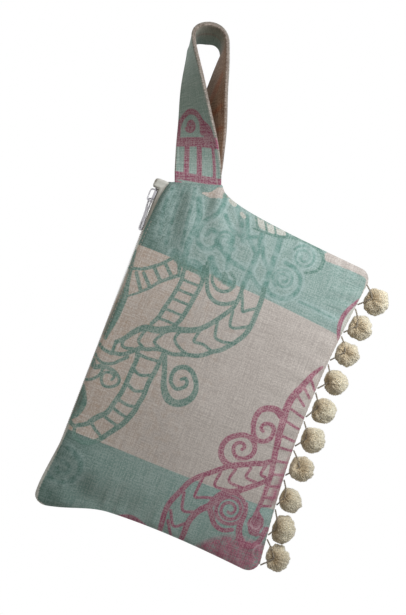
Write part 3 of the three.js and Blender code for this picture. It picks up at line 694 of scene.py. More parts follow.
jacquard = {
    # each yarn has its own colour and that of the paler fibres over it
    # zipShade is the aqua's painted shade beside the zip
    "aqua": (srgb(136, 164, 157), srgb(180, 198, 193)), "zipShade": (srgb(64, 96, 88), srgb(104, 132, 124)),
    "beige": (srgb(192, 182, 176), srgb(222, 213, 206)), "cell": (srgb(196, 196, 186), srgb(226, 227, 220)),
    "mistAndShade": (srgb(90, 138, 128), srgb(134, 174, 166)), "teal": (srgb(100, 137, 127), srgb(146, 172, 163)),
    "pink": (srgb(158, 84, 111), srgb(196, 144, 156)), "rust": (srgb(150, 84, 56), srgb(184, 124, 92)),
    "strapAqua": (srgb(146, 173, 164), srgb(190, 205, 199)), "hem": (srgb(118, 104, 95), srgb(198, 184, 174)),
    "reverse": (srgb(134, 100, 82), srgb(184, 150, 124)),
    "warmBeige": srgb(192, 168, 149), "edging": srgb(186, 208, 206), "bloom": srgb(190, 210, 208),
    "outline": srgb(206, 178, 184), "thinSlub": (0.90, 0.90, 0.90, 1), "thickSlub": (1.08, 1.08, 1.08, 1),
    # the rest in mm; the bands' edges are a curve and a slant across the bag
    "firstBand": 56.6, "firstDip": 0.00033, "secondBand": 218.6, "secondSkew": 0.014,
    "yarn": 0.62, "jag": 0.85, "soft": 0.55, "warmReach": 110.0, "zipShadeReach": 75.0, "edgingReach": 45.0,
}


def threadTexture(shade, flat):
    along = shade.noise(shade.stretched(flat, (1.15, 0.045, 1.0)), 1.0, 3.0, 0.65)
    across = shade.noise(shade.stretched(flat, (0.045, 1.15, 1.0)), 1.0, 3.0, 0.65)
    fleck = shade.noise(shade.stretched(flat, (1.5, 1.5, 1.0)), 1.0, 2.0, 0.7)
    grain = shade.noise(flat, 0.75, 2.0, 0.7)
    return along, across, fleck, grain


def dyed(cloth, yarn):
    return cloth["heather"].mix(*jacquard[yarn])


# 1 inside a stroke, with a rim as jagged as the weave
def inside(cloth, distance):
    return ((cloth["jag"] - distance) / jacquard["soft"] + 0.5).limited()


def bagGround(shade, cloth):
    x, y, grain = cloth["x"], cloth["y"], cloth["grain"]
    cloud = shade.noise(cloth["flat"], 0.16, 3.0, 0.6)
    first = inside(cloth, y - jacquard["firstBand"] - x * x * jacquard["firstDip"])
    second = inside(cloth, x * jacquard["secondSkew"] + jacquard["secondBand"] - y)
    aquaPart = (first + second).limited() * (1 - inside(cloth, shade.attribute("pale")))
    beige, paleFibre = jacquard["beige"]
    warm = (cloud * 2.0 - 0.2 - x / jacquard["warmReach"]).limited()
    beige = cloth["heather"].mix(warm.mix(beige, jacquard["warmBeige"]), paleFibre)
    ground = aquaPart.mix(beige, dyed(cloth, "aqua"))

    # painted shade: the aqua darkens towards the zip, where the cloth turns away from the light, and the
    # faint scrolls with it
    nearZip = (0.75 - x / jacquard["zipShadeReach"]).limited()
    zipShade = dyed(cloth, "zipShade")
    ground = (nearZip * aquaPart * 0.95).mix(ground, zipShade)
    # the faint scrolls, with the painted shade of the strokes along the folds
    mistAndShade = shade.attribute("mistAndShade")
    mistAndShadeTone = nearZip.mix(dyed(cloth, "mistAndShade"), zipShade)
    faint = ((0.8 - mistAndShade) / 2.6 + (grain - 0.5) * 2.0).limited() * (cloud * 1.1 + 0.25).limited()
    ground = faint.mix(ground, mistAndShadeTone)
    edging = (inside(cloth, mistAndShade - 1.9) - inside(cloth, mistAndShade - 0.3)).limited() * aquaPart
    edging = edging * (x / jacquard["edgingReach"]).limited() * (grain * 2.4 - 0.6).limited() * 0.6
    ground = edging.mix(ground, jacquard["edging"])
    ground = (inside(cloth, mistAndShade) * (grain * 1.5 - 0.35).limited()).mix(ground, mistAndShadeTone)
    bloom = (0.9 - mistAndShade / 8.0).limited() * aquaPart * (0.42 - cloud + grain * 0.4).limited() * 1.8
    ground = bloom.limited().mix(ground, jacquard["bloom"])

    strewn = (0.5 - shade.attribute("mottle") / 5.0).limited() * (grain * 5.0 + cloud * 3.0 - 3.05).limited()
    ground = strewn.mix(ground, dyed(cloth, "pink"))
    return inside(cloth, shade.attribute("rim")).mix(ground, dyed(cloth, "cell"))


def strapGround(shade, cloth):
    ground = shade.attribute("reverse").mix(dyed(cloth, "strapAqua"), dyed(cloth, "reverse"))
    ground = shade.attribute("hem").mix(ground, dyed(cloth, "hem"))
    rust = ((0.6 - shade.attribute("rust")) / 3.0 + (cloth["grain"] - 0.5) * 1.2).limited() * 0.75
    return rust.mix(ground, dyed(cloth, "rust"))


def jacquardMaterial(name, onBag):
    material, shade = startMaterial(name)
    flat = shade.node("ShaderNodeUVMap", {"uv_map": "flat"}, None, "UV")
    along, across, fleck, grain = threadTexture(shade, flat)
    x, y = shade.node("ShaderNodeSeparateXYZ", None, {0: flat}, [0, 1])
    turn = math.pi / jacquard["yarn"]
    weave = (x * turn).sine() * (y * turn).sine() * 0.5 + 0.5
    jag = (fleck - 0.5) * jacquard["jag"] + (grain - 0.5) * jacquard["jag"]
    heather = (along - 0.5) * 2.4 + (across - 0.5) * 2.4 + (fleck - 0.5) * 0.8
    heather = (heather + (grain - 0.5) * 3.0 + 0.45).limited()
    cloth = {"flat": flat, "x": x, "y": y, "grain": grain, "jag": jag, "heather": heather}
    ground = bagGround(shade, cloth) if onBag else strapGround(shade, cloth)

    worn = 1 - heather * 0.3
    tealPart = inside(cloth, shade.attribute("teal")) * worn
    pinkPart = inside(cloth, shade.attribute("pink")) * worn
    colour = tealPart.mix(ground, dyed(cloth, "teal"))
    colour = pinkPart.mix(colour, dyed(cloth, "pink"))
    if onBag:
        outlined = inside(cloth, shade.attribute("outlined")) * 0.7
        colour = outlined.mix(colour, jacquard["outline"])
    slub = shade.noise(shade.stretched(flat, (0.9, 0.02, 1.0)), 1.0, 2.0, 0.5)
    slub = (slub * 0.5 + 0.25).limited().mix(jacquard["thinSlub"], jacquard["thickSlub"])
    colour = shade.node("ShaderNodeMix", {"data_type": "RGBA", "blend_type": "MULTIPLY"},
                        {0: 1.0, 6: colour, 7: slub}, 2)
    height = weave * 0.45 + (along + across) * 0.35 + fleck * 0.35 + (tealPart + pinkPart) * 0.25
    finishMaterial(shade, {"Base Color": colour, "Roughness": 0.94 - heather * 0.12,
                           "Normal": height.bump(0.5, 0.0006), "Sheen Weight": 0.12,
                           "Sheen Roughness": 0.5, "Specular IOR Level": 0.25})
    return material


plainCloth = {
    "lining": {"dark": srgb(214, 205, 190), "light": srgb(232, 226, 215), "pitch": 0.5},
    "zipTape": {"dark": srgb(212, 210, 199), "light": srgb(238, 237, 231), "pitch": 0.4},
    "header": {"dark": srgb(176, 160, 138), "light": srgb(208, 196, 176), "pitch": 0.45},
}


def placeInMm(shade):
    return shade.stretched(shade.objectPlace(), (1 / mm, 1 / mm, 1 / mm))


def plainWeaveMaterial(name):
    cloth = plainCloth[name]
    material, shade = startMaterial(name)
    place = placeInMm(shade)
    x, y, z = shade.node("ShaderNodeSeparateXYZ", None, {0: place}, [0, 1, 2])
    turn = math.pi / cloth["pitch"]
    across = x * toFringe[0] + z * toFringe[2]
    along = x * alongZip[0] + z * alongZip[2]
    weave = ((across + y) * turn).sine() * (along * turn).sine() * 0.5 + 0.5
    fleck = shade.noise(place, 1.3, 3.0, 0.6)
    soil = shade.noise(place, 0.04, 2.0, 0.5)
    tone = (fleck * 0.7 + weave * 0.3 + (soil - 0.5) * 0.5).limited().mix(cloth["dark"], cloth["light"])
    finishMaterial(shade, {"Base Color": tone, "Roughness": 0.95 - fleck * 0.12,
                           "Normal": (weave + fleck).bump(0.4, 0.0004),
                           "Sheen Weight": 0.1, "Specular IOR Level": 0.25})
    return material


metal = {"bright": srgb(206, 204, 208), "dull": srgb(138, 136, 142)}
nylon = {"dark": srgb(196, 193, 182), "light": srgb(226, 224, 216)}


def nickelMaterial():
    material, shade = startMaterial("nickel")
    place = placeInMm(shade)
    cloud = shade.noise(place, 0.35, 3.0, 0.6)
    scratch = shade.noise(shade.stretched(place, (6.0, 6.0, 0.4)), 1.0, 2.0, 0.5)
    tone = (cloud * 0.8 + scratch * 0.2).limited().mix(metal["bright"], metal["dull"])
    finishMaterial(shade, {"Base Color": tone, "Roughness": 0.2 + cloud * 0.2,
                           "Normal": scratch.bump(0.08, 0.0002), "Metallic": 0.75})
    return material


def nylonMaterial():
    material, shade = startMaterial("nylonCoil")
    cloud = shade.noise(placeInMm(shade), 0.8, 3.0, 0.6)
    tone = cloud.mix(nylon["dark"], nylon["light"])
    finishMaterial(shade, {"Base Color": tone, "Roughness": 0.38 + cloud * 0.2, "Specular IOR Level": 0.5})
    return material


yarns = {
    # the pom yarn's dark tone also takes its painted shade at the pinch
    "pomYarn": (srgb(186, 152, 96), srgb(255, 249, 230)),
    "paleThread": (srgb(168, 152, 138), srgb(204, 192, 180)),
    "fringeThread": (srgb(136, 122, 106), srgb(176, 164, 146)),
}


def yarnMaterial(name):
    material, shade = startMaterial(name)
    place = placeInMm(shade)
    fibre = shade.noise(place, 2.2, 3.0, 0.65)
    patch = shade.noise(place, 0.12, 2.0, 0.5)
    # each tuft's own tone, with the pom's painted shade at its pinch
    tone = fibre * 0.45 + shade.attribute("tuftToneAndShade") * 0.5 + (patch - 0.5) * 0.5 + 0.44
    finishMaterial(shade, {"Base Color": tone.limited().mix(*yarns[name]), "Roughness": 0.96 - fibre * 0.1,
                           "Normal": fibre.bump(0.5, 0.0005), "Sheen Weight": 0.25,
                           "Sheen Roughness": 0.6, "Specular IOR Level": 0.2})
    return material


# the outer panels: a lofted shell, drawn up at the strap, relaxed as cloth

panel = {
    "coarse": (72, 50), "fine": (284, 197), "thickness": 0.9, "sink": 0.1, "seeds": {1: 11, -1: 23},
    "setback": 4.6, "setbackReach": 62, "setbackPower": 1.2, "setbackDepth": 32,
    "corner": 2.0, "cornerReach": 14, "cover": 1.0, "endSlope": -0.31, "endPower": 6,
    "flare": 5.2, "flareFrom": 218, "flareReach": 56, "flareDepth": 60,
    "bowSeam": {"strap": 8.0, "far": zipLength - 30.0},
}
relax = {
    "frames": 22, "quality": 6, "mass": 0.2, "stretch": 20, "shear": 6, "bend": 1.2,
    "pressure": 0.25, "weight": 0.25, "slack": 0.008, "hold": 0.3, "give": 1.5, "soften": 6,
}


def wander(u, v, seed, pitch):
    draw = np.random.default_rng(seed)
    total = np.zeros_like(u)
    for _ in range(5):
        turn = draw.uniform(0, 2 * np.pi)
        length = pitch * draw.uniform(0.7, 1.5)
        total += np.sin(2 * np.pi * (u * np.cos(turn) + v * np.sin(turn)) / length + draw.uniform(0, 6.3))
    return total / 5


# ridges and hollows that fall from the strap: route, height and half width in mm
folds = (
    ([(0, 6), (14, 5), (38, 3)], 1.6, 4.2), ([(3, 16), (20, 17), (52, 20)], -2.3, 4.8),
    ([(-4, 26), (14, 29), (40, 34), (66, 41)], 2.0, 5.2), ([(-4, 38), (14, 42), (40, 50)], -1.6, 4.8),
    ([(-7, 46), (10, 53), (38, 64)], 1.4, 5.5), ([(0, 60), (20, 70), (46, 84)], -1.1, 6.5),
    ([(222, -2), (244, 24), (268, 52)], 2.8, 17.0), ([(255, 18), (267, 35), (269, 58)], -3.4, 12.0),
    ([(60, 20), (120, 12), (190, 14)], -1.0, 16.0), ([(246, 22), (262, 60), (262, 110)], -1.2, 14.0),
    ([(150, 100), (190, 88), (228, 70)], 0.8, 18.0), ([(80, 130), (130, 122), (170, 108)], -0.7, 16.0),
)
wrinkles = {
    "foldSteps": 6, "foldIn": 5, "foldStart": 0.3, "foldOut": 2.2, "foldFromSeam": 5,
    "pucker": 0.6, "puckerPitch": 15.0, "puckerReach": 20.0, "puckerFromSeam": 4,
    "drift": 2.5, "driftPitch": 60, "wave": 1.2, "wavePitch": 95, "waveFromSeam": 30, "waveFromZip": 25,
}


# the folds, puckers along the seams and a slow wave over the rest
def clothRelief(u, v, s, t, seed):
    points = np.stack([u.ravel(), v.ravel()], 1)
    relief = np.zeros(u.size)
    for route, height, half in folds:
        route = smoothCurve(route, wrinkles["foldSteps"])
        gap, place = alongRoute(points, route)
        share = place / (len(route) - 1)
        rising = np.clip(share * wrinkles["foldIn"] + wrinkles["foldStart"], 0, 1)
        falling = np.clip((1 - share) * wrinkles["foldOut"], 0, 1)
        relief += height * np.exp(-(gap / half) ** 2) * rising * falling
    nearSeam = np.minimum(np.minimum(s, 1 - s) * zipLength, (1 - t) * depth)
    relief = relief.reshape(u.shape) * np.clip(nearSeam / wrinkles["foldFromSeam"], 0, 1)
    alongSeam = np.where((1 - t) * depth < np.minimum(s, 1 - s) * zipLength, u, v)
    drift = wrinkles["drift"] * wander(u, v, seed + 1, wrinkles["driftPitch"])
    gather = np.sin(2 * np.pi * alongSeam / wrinkles["puckerPitch"] + drift)
    pucker = wrinkles["pucker"] * gather * np.exp(-nearSeam / wrinkles["puckerReach"])
    pucker = pucker * np.clip(nearSeam / wrinkles["puckerFromSeam"], 0, 1)
    middle = np.clip(nearSeam / wrinkles["waveFromSeam"], 0, 1)
    middle = middle * np.clip(t * depth / wrinkles["waveFromZip"], 0, 1)
    return relief + pucker + wrinkles["wave"] * middle * wander(u, v, seed, wrinkles["wavePitch"])


def relaxCloth(points, hold):
    rows, columns = points.shape[:2]
    mesh = bpy.data.meshes.new("relax")
    faces = gridQuads(np.arange(rows * columns).reshape(rows, columns))
    mesh.from_pydata([tuple(point) for point in points.reshape(-1, 3)], [], faces.tolist())
    sheet = addObject("relax", mesh)
    held = sheet.vertex_groups.new(name="held")
    for k, weight in enumerate(hold.ravel()):
        held.add([k], float(weight), "REPLACE")
    cloth = sheet.modifiers.new("cloth", "CLOTH").settings
    cloth.quality = relax["quality"]
    cloth.mass = relax["mass"]
    cloth.tension_stiffness = cloth.compression_stiffness = relax["stretch"]
    cloth.shear_stiffness = relax["shear"]
    cloth.bending_stiffness = relax["bend"]
    cloth.vertex_group_mass = "held"
    cloth.pin_stiffness = 1.0
    cloth.effector_weights.gravity = relax["weight"]
    cloth.shrink_min = -relax["slack"]
    cloth.use_pressure = True
    cloth.uniform_pressure_force = relax["pressure"]
    scene = bpy.context.scene
    for number in range(1, relax["frames"] + 1):
        scene.frame_set(number)
    done = sheet.evaluated_get(bpy.context.evaluated_depsgraph_get()).data
    settled = np.zeros(rows * columns * 3)
    done.vertices.foreach_get("co", settled)
    scene.frame_set(1)
    bpy.data.objects.remove(sheet)
    return settled.reshape(rows, columns, 3)


# takes out wrinkles of the size of one mesh cell
def soften(field, times):
    field = field.copy()
    for _ in range(times):
        field[1:-1] = (field[:-2] + 2 * field[1:-1] + field[2:]) / 4
        field[:, 1:-1] = (field[:, :-2] + 2 * field[:, 1:-1] + field[:, 2:]) / 4
    return field


# the front cloth's edge keeps off the zip at the strap and covers it further down
def zipSetback(u):
    setback = panel["setback"] * np.maximum(1 - u / panel["setbackReach"], 0) ** panel["setbackPower"]
    return setback + panel["corner"] * np.maximum(1 - u / panel["cornerReach"], 0) - panel["cover"]


# the cloth flares out past the end of the zip
def zipFlare(u):
    share = np.clip((u - panel["flareFrom"]) / panel["flareReach"], 0, 1)
    return -panel["flare"] * share * share * (3 - 2 * share)


def panelGrid(size):
    lengths = np.linspace(0, zipLength, size[0]), np.linspace(0, depth, size[1])
    s, t = roundCorners(*np.meshgrid(*lengths, indexing="ij"))
    return (s, t, *planePoint(s, t))


def settle(shaped, side):
    hold = np.ones(shaped.shape[:2])
    hold[1:-1, 1:-1] = relax["hold"]
    settled = relaxCloth(shaped[:, ::side], hold[:, ::side])[:, ::side]
    moved = soften((settled - shaped) / mm, relax["soften"])
    outward = moved @ (side * outFront)
    print("cloth moved", outward.min().round(2), "to", outward.max().round(2), "mm")
    limited = relax["give"] * np.tanh(outward / relax["give"])
    return shaped + (moved + (limited - outward)[..., None] * side * outFront) * mm


# one side's panel as a fine grid of points in metres
def shapePanel(side):
    s, t, u, v = panelGrid(panel["coarse"])
    setback = zipSetback(u) * np.maximum(1 - v / panel["setbackDepth"], 0) ** 2 if side > 0 else 0 * u
    flare = zipFlare(u) * np.maximum(1 - v / panel["flareDepth"], 0) ** 2
    alongEnd = panel["endSlope"] * setback * (1 - s) ** panel["endPower"]
    level = hollow(s, t) + bagShape["cloth"] - panel["sink"]
    rest = inBag(u + alongEnd, v + setback + flare, side * level)
    relief = clothRelief(u, v, s, t, panel["seeds"][side])
    shaped = rest + relief[..., None] * side * outFront * mm
    shaped = settle(shaped, side)
    rows, columns = (smoothRefine(*counts) for counts in zip(panel["coarse"], panel["fine"]))
    return np.einsum("ai,ijc,bj->abc", rows, shaped, columns)


# the back's ornament is flipped end for end
def makePanelPiece(name, points, side, part, material, ornament):
    u, v = panelGrid(panel["fine"])[2:]
    normal = gridNormals(points)
    normal = normal if (normal * outFront).sum() * side > 0 else -normal
    inner = points - normal * panel["thickness"] * mm
    faces = sheetFaces(*points[part].shape[:2], side > 0)
    facing = bothFaces(normal[part], -normal[part])
    piece = newPiece(name, bothFaces(points[part], inner[part]), faces, material, facing)
    flatU, flatV = u[part].ravel(), v[part].ravel()
    if side < 0:
        flatU, flatV = zipLength - flatU, depth - flatV
    addFlatMap(piece, np.tile(flatV, 2), np.tile(flatU, 2))
    for key, strokes in ornament.items():
        addAttribute(piece, key, np.tile(strokes.field(flatU, flatV), 2))
    return piece


# bakes the piece's place into its mesh; the places of its end seam and of the bag's middle are worked out and
# not used
def bowOpen(piece, end):
    seam = panel["bowSeam"][end]
    tuple(inBag(seam, depth / 2, 0.0))
    tuple(inBag(zipLength / 2, depth / 2, 0.0))
    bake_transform(piece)


# a piece rides one body, or, given a sewn end, has its place baked in and rides none
def carry(piece, body="bag_body", end=None):
    if end:
        bowOpen(piece, end)
    else:
        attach(piece, body)


def addPanels(ornament):
    material = jacquardMaterial("jacquard", True)
    middle = panel["fine"][0] // 2
    halves = (("upper", slice(0, middle + 1), "strap"), ("lower", slice(middle, None), "far"))
    for side, node in ((1, "front"), (-1, "back")):
        points = shapePanel(side)
        for half, part, end in halves:
            piece = makePanelPiece(f"{node}_cloth_{half}", points, side, part, material, ornament)
            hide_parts(node + "_panel")
            carry(piece, end=end if side > 0 else None)
    print("panels settled")


lining = {
    "grid": (96, 66), "endInset": 12.0, "zipInset": 4.0, "thickness": 0.5,
    "level": 0.9, "behind": 0.55, "ripple": 0.3, "ripplePitch": 40, "rippleSeed": 5,
}


def addLinings():
    material = plainWeaveMaterial("lining")
    fromEnd = np.linspace(lining["endInset"], zipLength - lining["endInset"], lining["grid"][0])
    fromZip = np.linspace(lining["zipInset"], depth - lining["endInset"], lining["grid"][1])
    fromEnd, fromZip = np.meshgrid(fromEnd, fromZip, indexing="ij")
    s, t = fromEnd / zipLength, fromZip / depth
    u, v = planePoint(s, t)
    ripple = lining["ripple"] * (wander(u, v, lining["rippleSeed"], lining["ripplePitch"]) - 1)
    level = lining["level"] + lining["behind"] * np.maximum(hollow(s, t) - bagShape["cloth"], 0)
    level = level + ripple * np.clip(t * 20, 0, 1)
    middle = lining["grid"][0] // 2
    for node, side, label, part, end in (("front_lining", 1, "upper", slice(0, middle + 1), "strap"),
                                         ("front_lining", 1, "lower", slice(middle, None), "far"),
                                         ("back_lining", -1, "whole", slice(0, None), None)):
        outer = inBag(u, v, side * level)[part]
        inner = inBag(u, v, side * (level - lining["thickness"]))[part]
        faces = sheetFaces(*outer.shape[:2], side > 0)
        piece = newPiece(f"{node}_{label}", bothFaces(outer, inner), faces, material)
        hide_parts(node)
        carry(piece, end=end)
    print("linings made")


# node trees that grow a piece from a base mesh in mm

def startTree(name, inputs):
    tree = bpy.data.node_groups.new(name, "GeometryNodeTree")
    tree.interface.new_socket("Geometry", in_out="OUTPUT", socket_type="NodeSocketGeometry")
    tree.interface.new_socket("Geometry", in_out="INPUT", socket_type="NodeSocketGeometry")
    for label, value in inputs.items():
        kind = {int: "Int", float: "Float", tuple: "Vector"}[type(value)]
        socket = tree.interface.new_socket(label, in_out="INPUT", socket_type="NodeSocket" + kind)
        socket.default_value = value
    tree.interface.new_socket("Material", in_out="INPUT", socket_type="NodeSocketMaterial")
    start = tree.nodes.new("NodeGroupInput")
    return {label: Wire(tree, start.outputs[label]) for label in ["Geometry", *inputs, "Material"]}


def finishTree(wires, geometry):
    geometry = geometry.node("GeometryNodeRealizeInstances", None, {"Geometry": geometry})
    geometry = geometry.node("GeometryNodeSetShadeSmooth", None, {"Geometry": geometry})
    finish = {"Geometry": geometry, "Material": wires["Material"]}
    geometry = geometry.node("GeometryNodeSetMaterial", None, finish)
    geometry.node("NodeGroupOutput", None, {0: geometry}, [])
    return geometry.tree


# matrix takes the base's mm to their place in metres
def growPiece(name, tree, points, values, matrix):
    mesh = bpy.data.meshes.new(name + "_base")
    mesh.from_pydata([tuple(point) for point in points], [(k, k + 1) for k in range(len(points) - 1)], [])
    base = addObject(name + "_base", mesh)
    grow = base.modifiers.new("grow", "NODES")
    grow.node_group = tree
    for item in tree.interface.items_tree:
        if item.item_type == "SOCKET" and item.in_out == "INPUT" and item.name in values:
            grow[item.identifier] = values[item.name]
    grown = bakedMesh(base)
    bpy.data.objects.remove(base)
    grown.transform(matrix)
    return addObject(name, grown)


def stitchTree():
    wires = startTree("stitchRow", {"Pitch": 3.4, "Length": 2.4, "Thickness": 0.5})
    route = wires["Geometry"].node("GeometryNodeMeshToCurve", None, {"Mesh": wires["Geometry"]})
    points, turn = route.node("GeometryNodeCurveToPoints", {"mode": "LENGTH"},
                              {"Curve": route, "Length": wires["Pitch"]}, ["Points", "Rotation"])
    bead = route.node("GeometryNodeMeshUVSphere", None, {"Segments": 6, "Rings": 5, "Radius": 0.5})
    size = {0: wires["Thickness"], 1: wires["Thickness"], 2: wires["Length"]}
    size = route.node("ShaderNodeCombineXYZ", None, size)
    row = {"Points": points, "Instance": bead, "Rotation": turn, "Scale": size}
    return finishTree(wires, route.node("GeometryNodeInstanceOnPoints", None, row))


def coilTree():
    wires = startTree("coilRow", {"Pitch": 1.6, "Reach": 1.5, "Height": 0.55, "Wire": 0.34})
    route = wires["Geometry"].node("GeometryNodeMeshToCurve", None, {"Mesh": wires["Geometry"]})
    row = route.node("GeometryNodeResampleCurve", {"mode": "LENGTH"},
                     {"Curve": route, "Length": wires["Pitch"]})
    loop = route.node("GeometryNodeCurvePrimitiveCircle", None, {"Resolution": 10, "Radius": 1.0})
    size = route.node("ShaderNodeCombineXYZ", None, {0: wires["Reach"], 1: wires["Height"], 2: 1.0})
    loop = route.node("GeometryNodeTransform", None,
                      {"Geometry": loop, "Scale": size, "Rotation": (0.0, math.pi / 2, 0.0)})
    wire = route.node("GeometryNodeCurvePrimitiveCircle", None, {"Resolution": 5, "Radius": wires["Wire"]})
    tooth = route.node("GeometryNodeCurveToMesh", None, {"Curve": loop, "Profile Curve": wire})
    teeth = route.node("GeometryNodeInstanceOnPoints", None, {"Points": row, "Instance": tooth})
    return finishTree(wires, teeth)


pom = {
    # shade and shadeSharp set the painted shade at the pinch
    "lumpScale": 0.13, "creaseScale": 2.4, "pinchSharp": 9.0, "shade": 1.3, "shadeSharp": 2.4,
    "comb": 0.75, "stand": 0.45, "lean": 0.35, "napLeast": 0.65, "napMost": 1.35,
}


# painted shade, darkest where the thread draws the ball in
def paintedPinchShade(facing):
    return ((facing - 1.0) * pom["shadeSharp"]).exponent() * pom["shade"]


def storeToneAndShade(geometry, domain, value):
    return geometry.node("GeometryNodeStoreNamedAttribute", {"data_type": "FLOAT", "domain": domain},
                         {"Geometry": geometry, "Name": "tuftToneAndShade", "Value": value})


def seededNoise(place, seed, scale, roughness):
    sockets = {"Vector": place, "W": seed, "Scale": scale, "Detail": 2.0, "Roughness": roughness}
    return place.node("ShaderNodeTexNoise", {"noise_dimensions": "4D"}, sockets, "Fac")


# sockets 0 and 1 hold the range of a random vector, 2 and 3 that of a number
def randomValue(seed, kind, sockets):
    return seed.node("FunctionNodeRandomValue", {"data_type": kind}, {**sockets, "Seed": seed})


def pomCore(wires, ball, place):
    normal = ball.node("GeometryNodeInputNormal")
    lump = seededNoise(place, wires["Seed"] * 3.7, pom["lumpScale"], 0.55)
    facing = normal.dot(wires["Pinch"])
    pinch = ((facing - 1.0) * pom["pinchSharp"]).exponent()
    # creases that run out from the pinch
    around = place.unitAwayFrom(wires["Pinch"].scaled(place.dot(wires["Pinch"])))
    crease = seededNoise(around, wires["Seed"] * 1.9, pom["creaseScale"], 0.6)
    move = (lump - 0.5) * wires["Lumps"] + (crease - 0.5) * wires["Creases"] - pinch * wires["Pinch Depth"]
    core = ball.node("GeometryNodeSetPosition", None, {"Geometry": ball, "Offset": normal.scaled(move)})
    # painted shade: the core darkens towards the pinch
    return storeToneAndShade(core, "POINT", 0.5 - paintedPinchShade(facing))


def pomTree():
    wires = startTree("pomBall", {
        "Seed": 0, "Radius": 8.4, "Lumps": 5.4, "Pinch": (0.0, -0.8, 0.6), "Pinch Depth": 4.2,
        "Creases": 5.2, "Density": 2.1, "Yarn": 0.36, "Nap": 3.3})
    ball = wires["Geometry"].node("GeometryNodeMeshIcoSphere", None,
                                  {"Radius": wires["Radius"], "Subdivisions": 5}, "Mesh")
    place = ball.node("GeometryNodeInputPosition")
    core = pomCore(wires, ball, place)
    spread = {"Mesh": core, "Density": wires["Density"], "Seed": wires["Seed"]}
    points, outward = ball.node("GeometryNodeDistributePointsOnFaces", None, spread, ["Points", "Normal"])
    # the yarn is combed away from the pinch
    away = place.unitAwayFrom(wires["Pinch"].scaled(wires["Radius"] * pom["comb"]))
    aim = ball.vector("MULTIPLY_ADD", {0: outward, 1: (pom["stand"],) * 3, 2: away})
    lean = randomValue(wires["Seed"], "FLOAT_VECTOR", {0: (-pom["lean"],) * 3, 1: (pom["lean"],) * 3})
    aim = ball.vector("ADD", {0: aim, 1: lean})
    turn = ball.node("FunctionNodeAlignRotationToVector", {"axis": "Z"}, {"Vector": aim})
    grown = randomValue(wires["Seed"] + 7, "FLOAT", {2: pom["napLeast"], 3: pom["napMost"]})
    size = {0: wires["Yarn"], 1: wires["Yarn"], 2: wires["Nap"] * grown}
    size = ball.node("ShaderNodeCombineXYZ", None, size)
    end = ball.node("GeometryNodeMeshUVSphere", None, {"Segments": 5, "Rings": 4, "Radius": 1.0})
    ends = ball.node("GeometryNodeInstanceOnPoints", None,
                     {"Points": points, "Instance": end, "Rotation": turn, "Scale": size})
    tone = randomValue(wires["Seed"] + 13, "FLOAT", {2: 0.0, 3: 1.0})
    facing = ball.vector("NORMALIZE", {0: place}).dot(wires["Pinch"])
    # each tuft's own random tone, less the painted shade towards the pinch
    ends = storeToneAndShade(ends, "INSTANCE", tone - paintedPinchShade(facing))
    return finishTree(wires, ball.node("GeometryNodeJoinGeometry", None, {0: [core, ends]}))


# wrist strap

strap = {
    "width": 38.5, "thickness": 2.8, "crown": 12.4, "crownGap": 1.5,
    "footRise": 8.0, "ply": 1.65, "footPly": 0.45, "tuck": 2.2,
    "turn": {-1: 80.0, 1: 84.0}, "turnPower": 0.75, "roll": 8.0, "square": (0.66, 0.9),
    "columns": 30, "footRows": 9, "sideRows": 86, "archRows": 34,
    "lip": 0.5, "lipBulge": 0.7, "lipAngles": (60, 20, -20, -60),
    "hem": 3.4, "groove": 0.28, "grooveHalf": 0.5, "hemSwell": 0.22, "swellPlace": 1.6, "swellHalf": 1.5,
    "flatReach": 9, "flatFoot": 0.5, "looseFrom": 12, "looseReach": 20, "stitchProud": 0.08,
    "ripple": 0.35, "ripplePitch": 9.0, "rippleSkew": 14, "reverseShift": 60, "flex": 26.0,
}
strapSeat = np.array(joints["strap_swing"]["pos_m"]) / mm
seatLine = np.array(joints["strap_swing"]["axis"], float)


# one side, from its foot up to the crown: middle points and width directions
def strapSide(direction, radius):
    rows = []
    for height in np.linspace(-strap["tuck"], strap["footRise"], strap["footRows"])[:-1]:
        spread = np.clip(height / strap["footRise"], 0, 1)
        ply = strap["ply"] * (strap["footPly"] + (1 - strap["footPly"]) * spread)
        rows.append((strapSeat + np.array([0, direction * ply, height]), seatLine))
    start = strapSeat + np.array([0, direction * strap["ply"], strap["footRise"]])
    top = np.array([direction * radius, 0, -strap["crown"]])
    for share in np.linspace(0, 1, strap["sideRows"]):
        eased = share * share * (3 - 2 * share)
        turn = math.radians(strap["turn"][direction]) * share ** strap["turnPower"]
        middle = start + (top - start) * np.array([eased if direction < 0 else share, share, share])
        rows.append((middle, math.cos(turn) * seatLine + math.sin(turn) * outFront))
    return rows


def strapArch(radius):
    rows = []
    rolls = (strap["turn"][-1] - 90, strap["roll"], 90 - strap["turn"][1])
    for share in np.linspace(0, 1, strap["archRows"])[1:-1]:
        angle = math.pi * (1 - share)
        away = np.array([math.cos(angle), 0, math.sin(angle)])
        square = np.sign(away) * np.abs(away) ** strap["square"][int(share > 0.5)]
        roll = math.radians(np.interp(share, (0, 0.5, 1), rolls))
        middle = radius * square - np.array([0, 0, strap["crown"]])
        rows.append((middle, math.cos(roll) * outFront + math.sin(roll) * away))
    return rows


# from the front foot over the crown to the back foot: middle line, width, outward direction, way along
def strapRows():
    radius = strap["crown"] + strap["crownGap"]
    rows = strapSide(-1, radius) + strapArch(radius) + strapSide(1, radius)[::-1]
    middle = np.array([row[0] for row in rows])
    width = unitRows(np.array([row[1] for row in rows]))
    out = unitRows(np.cross(width, np.gradient(middle, axis=0)))
    return middle, width, out, wayAlong(middle)


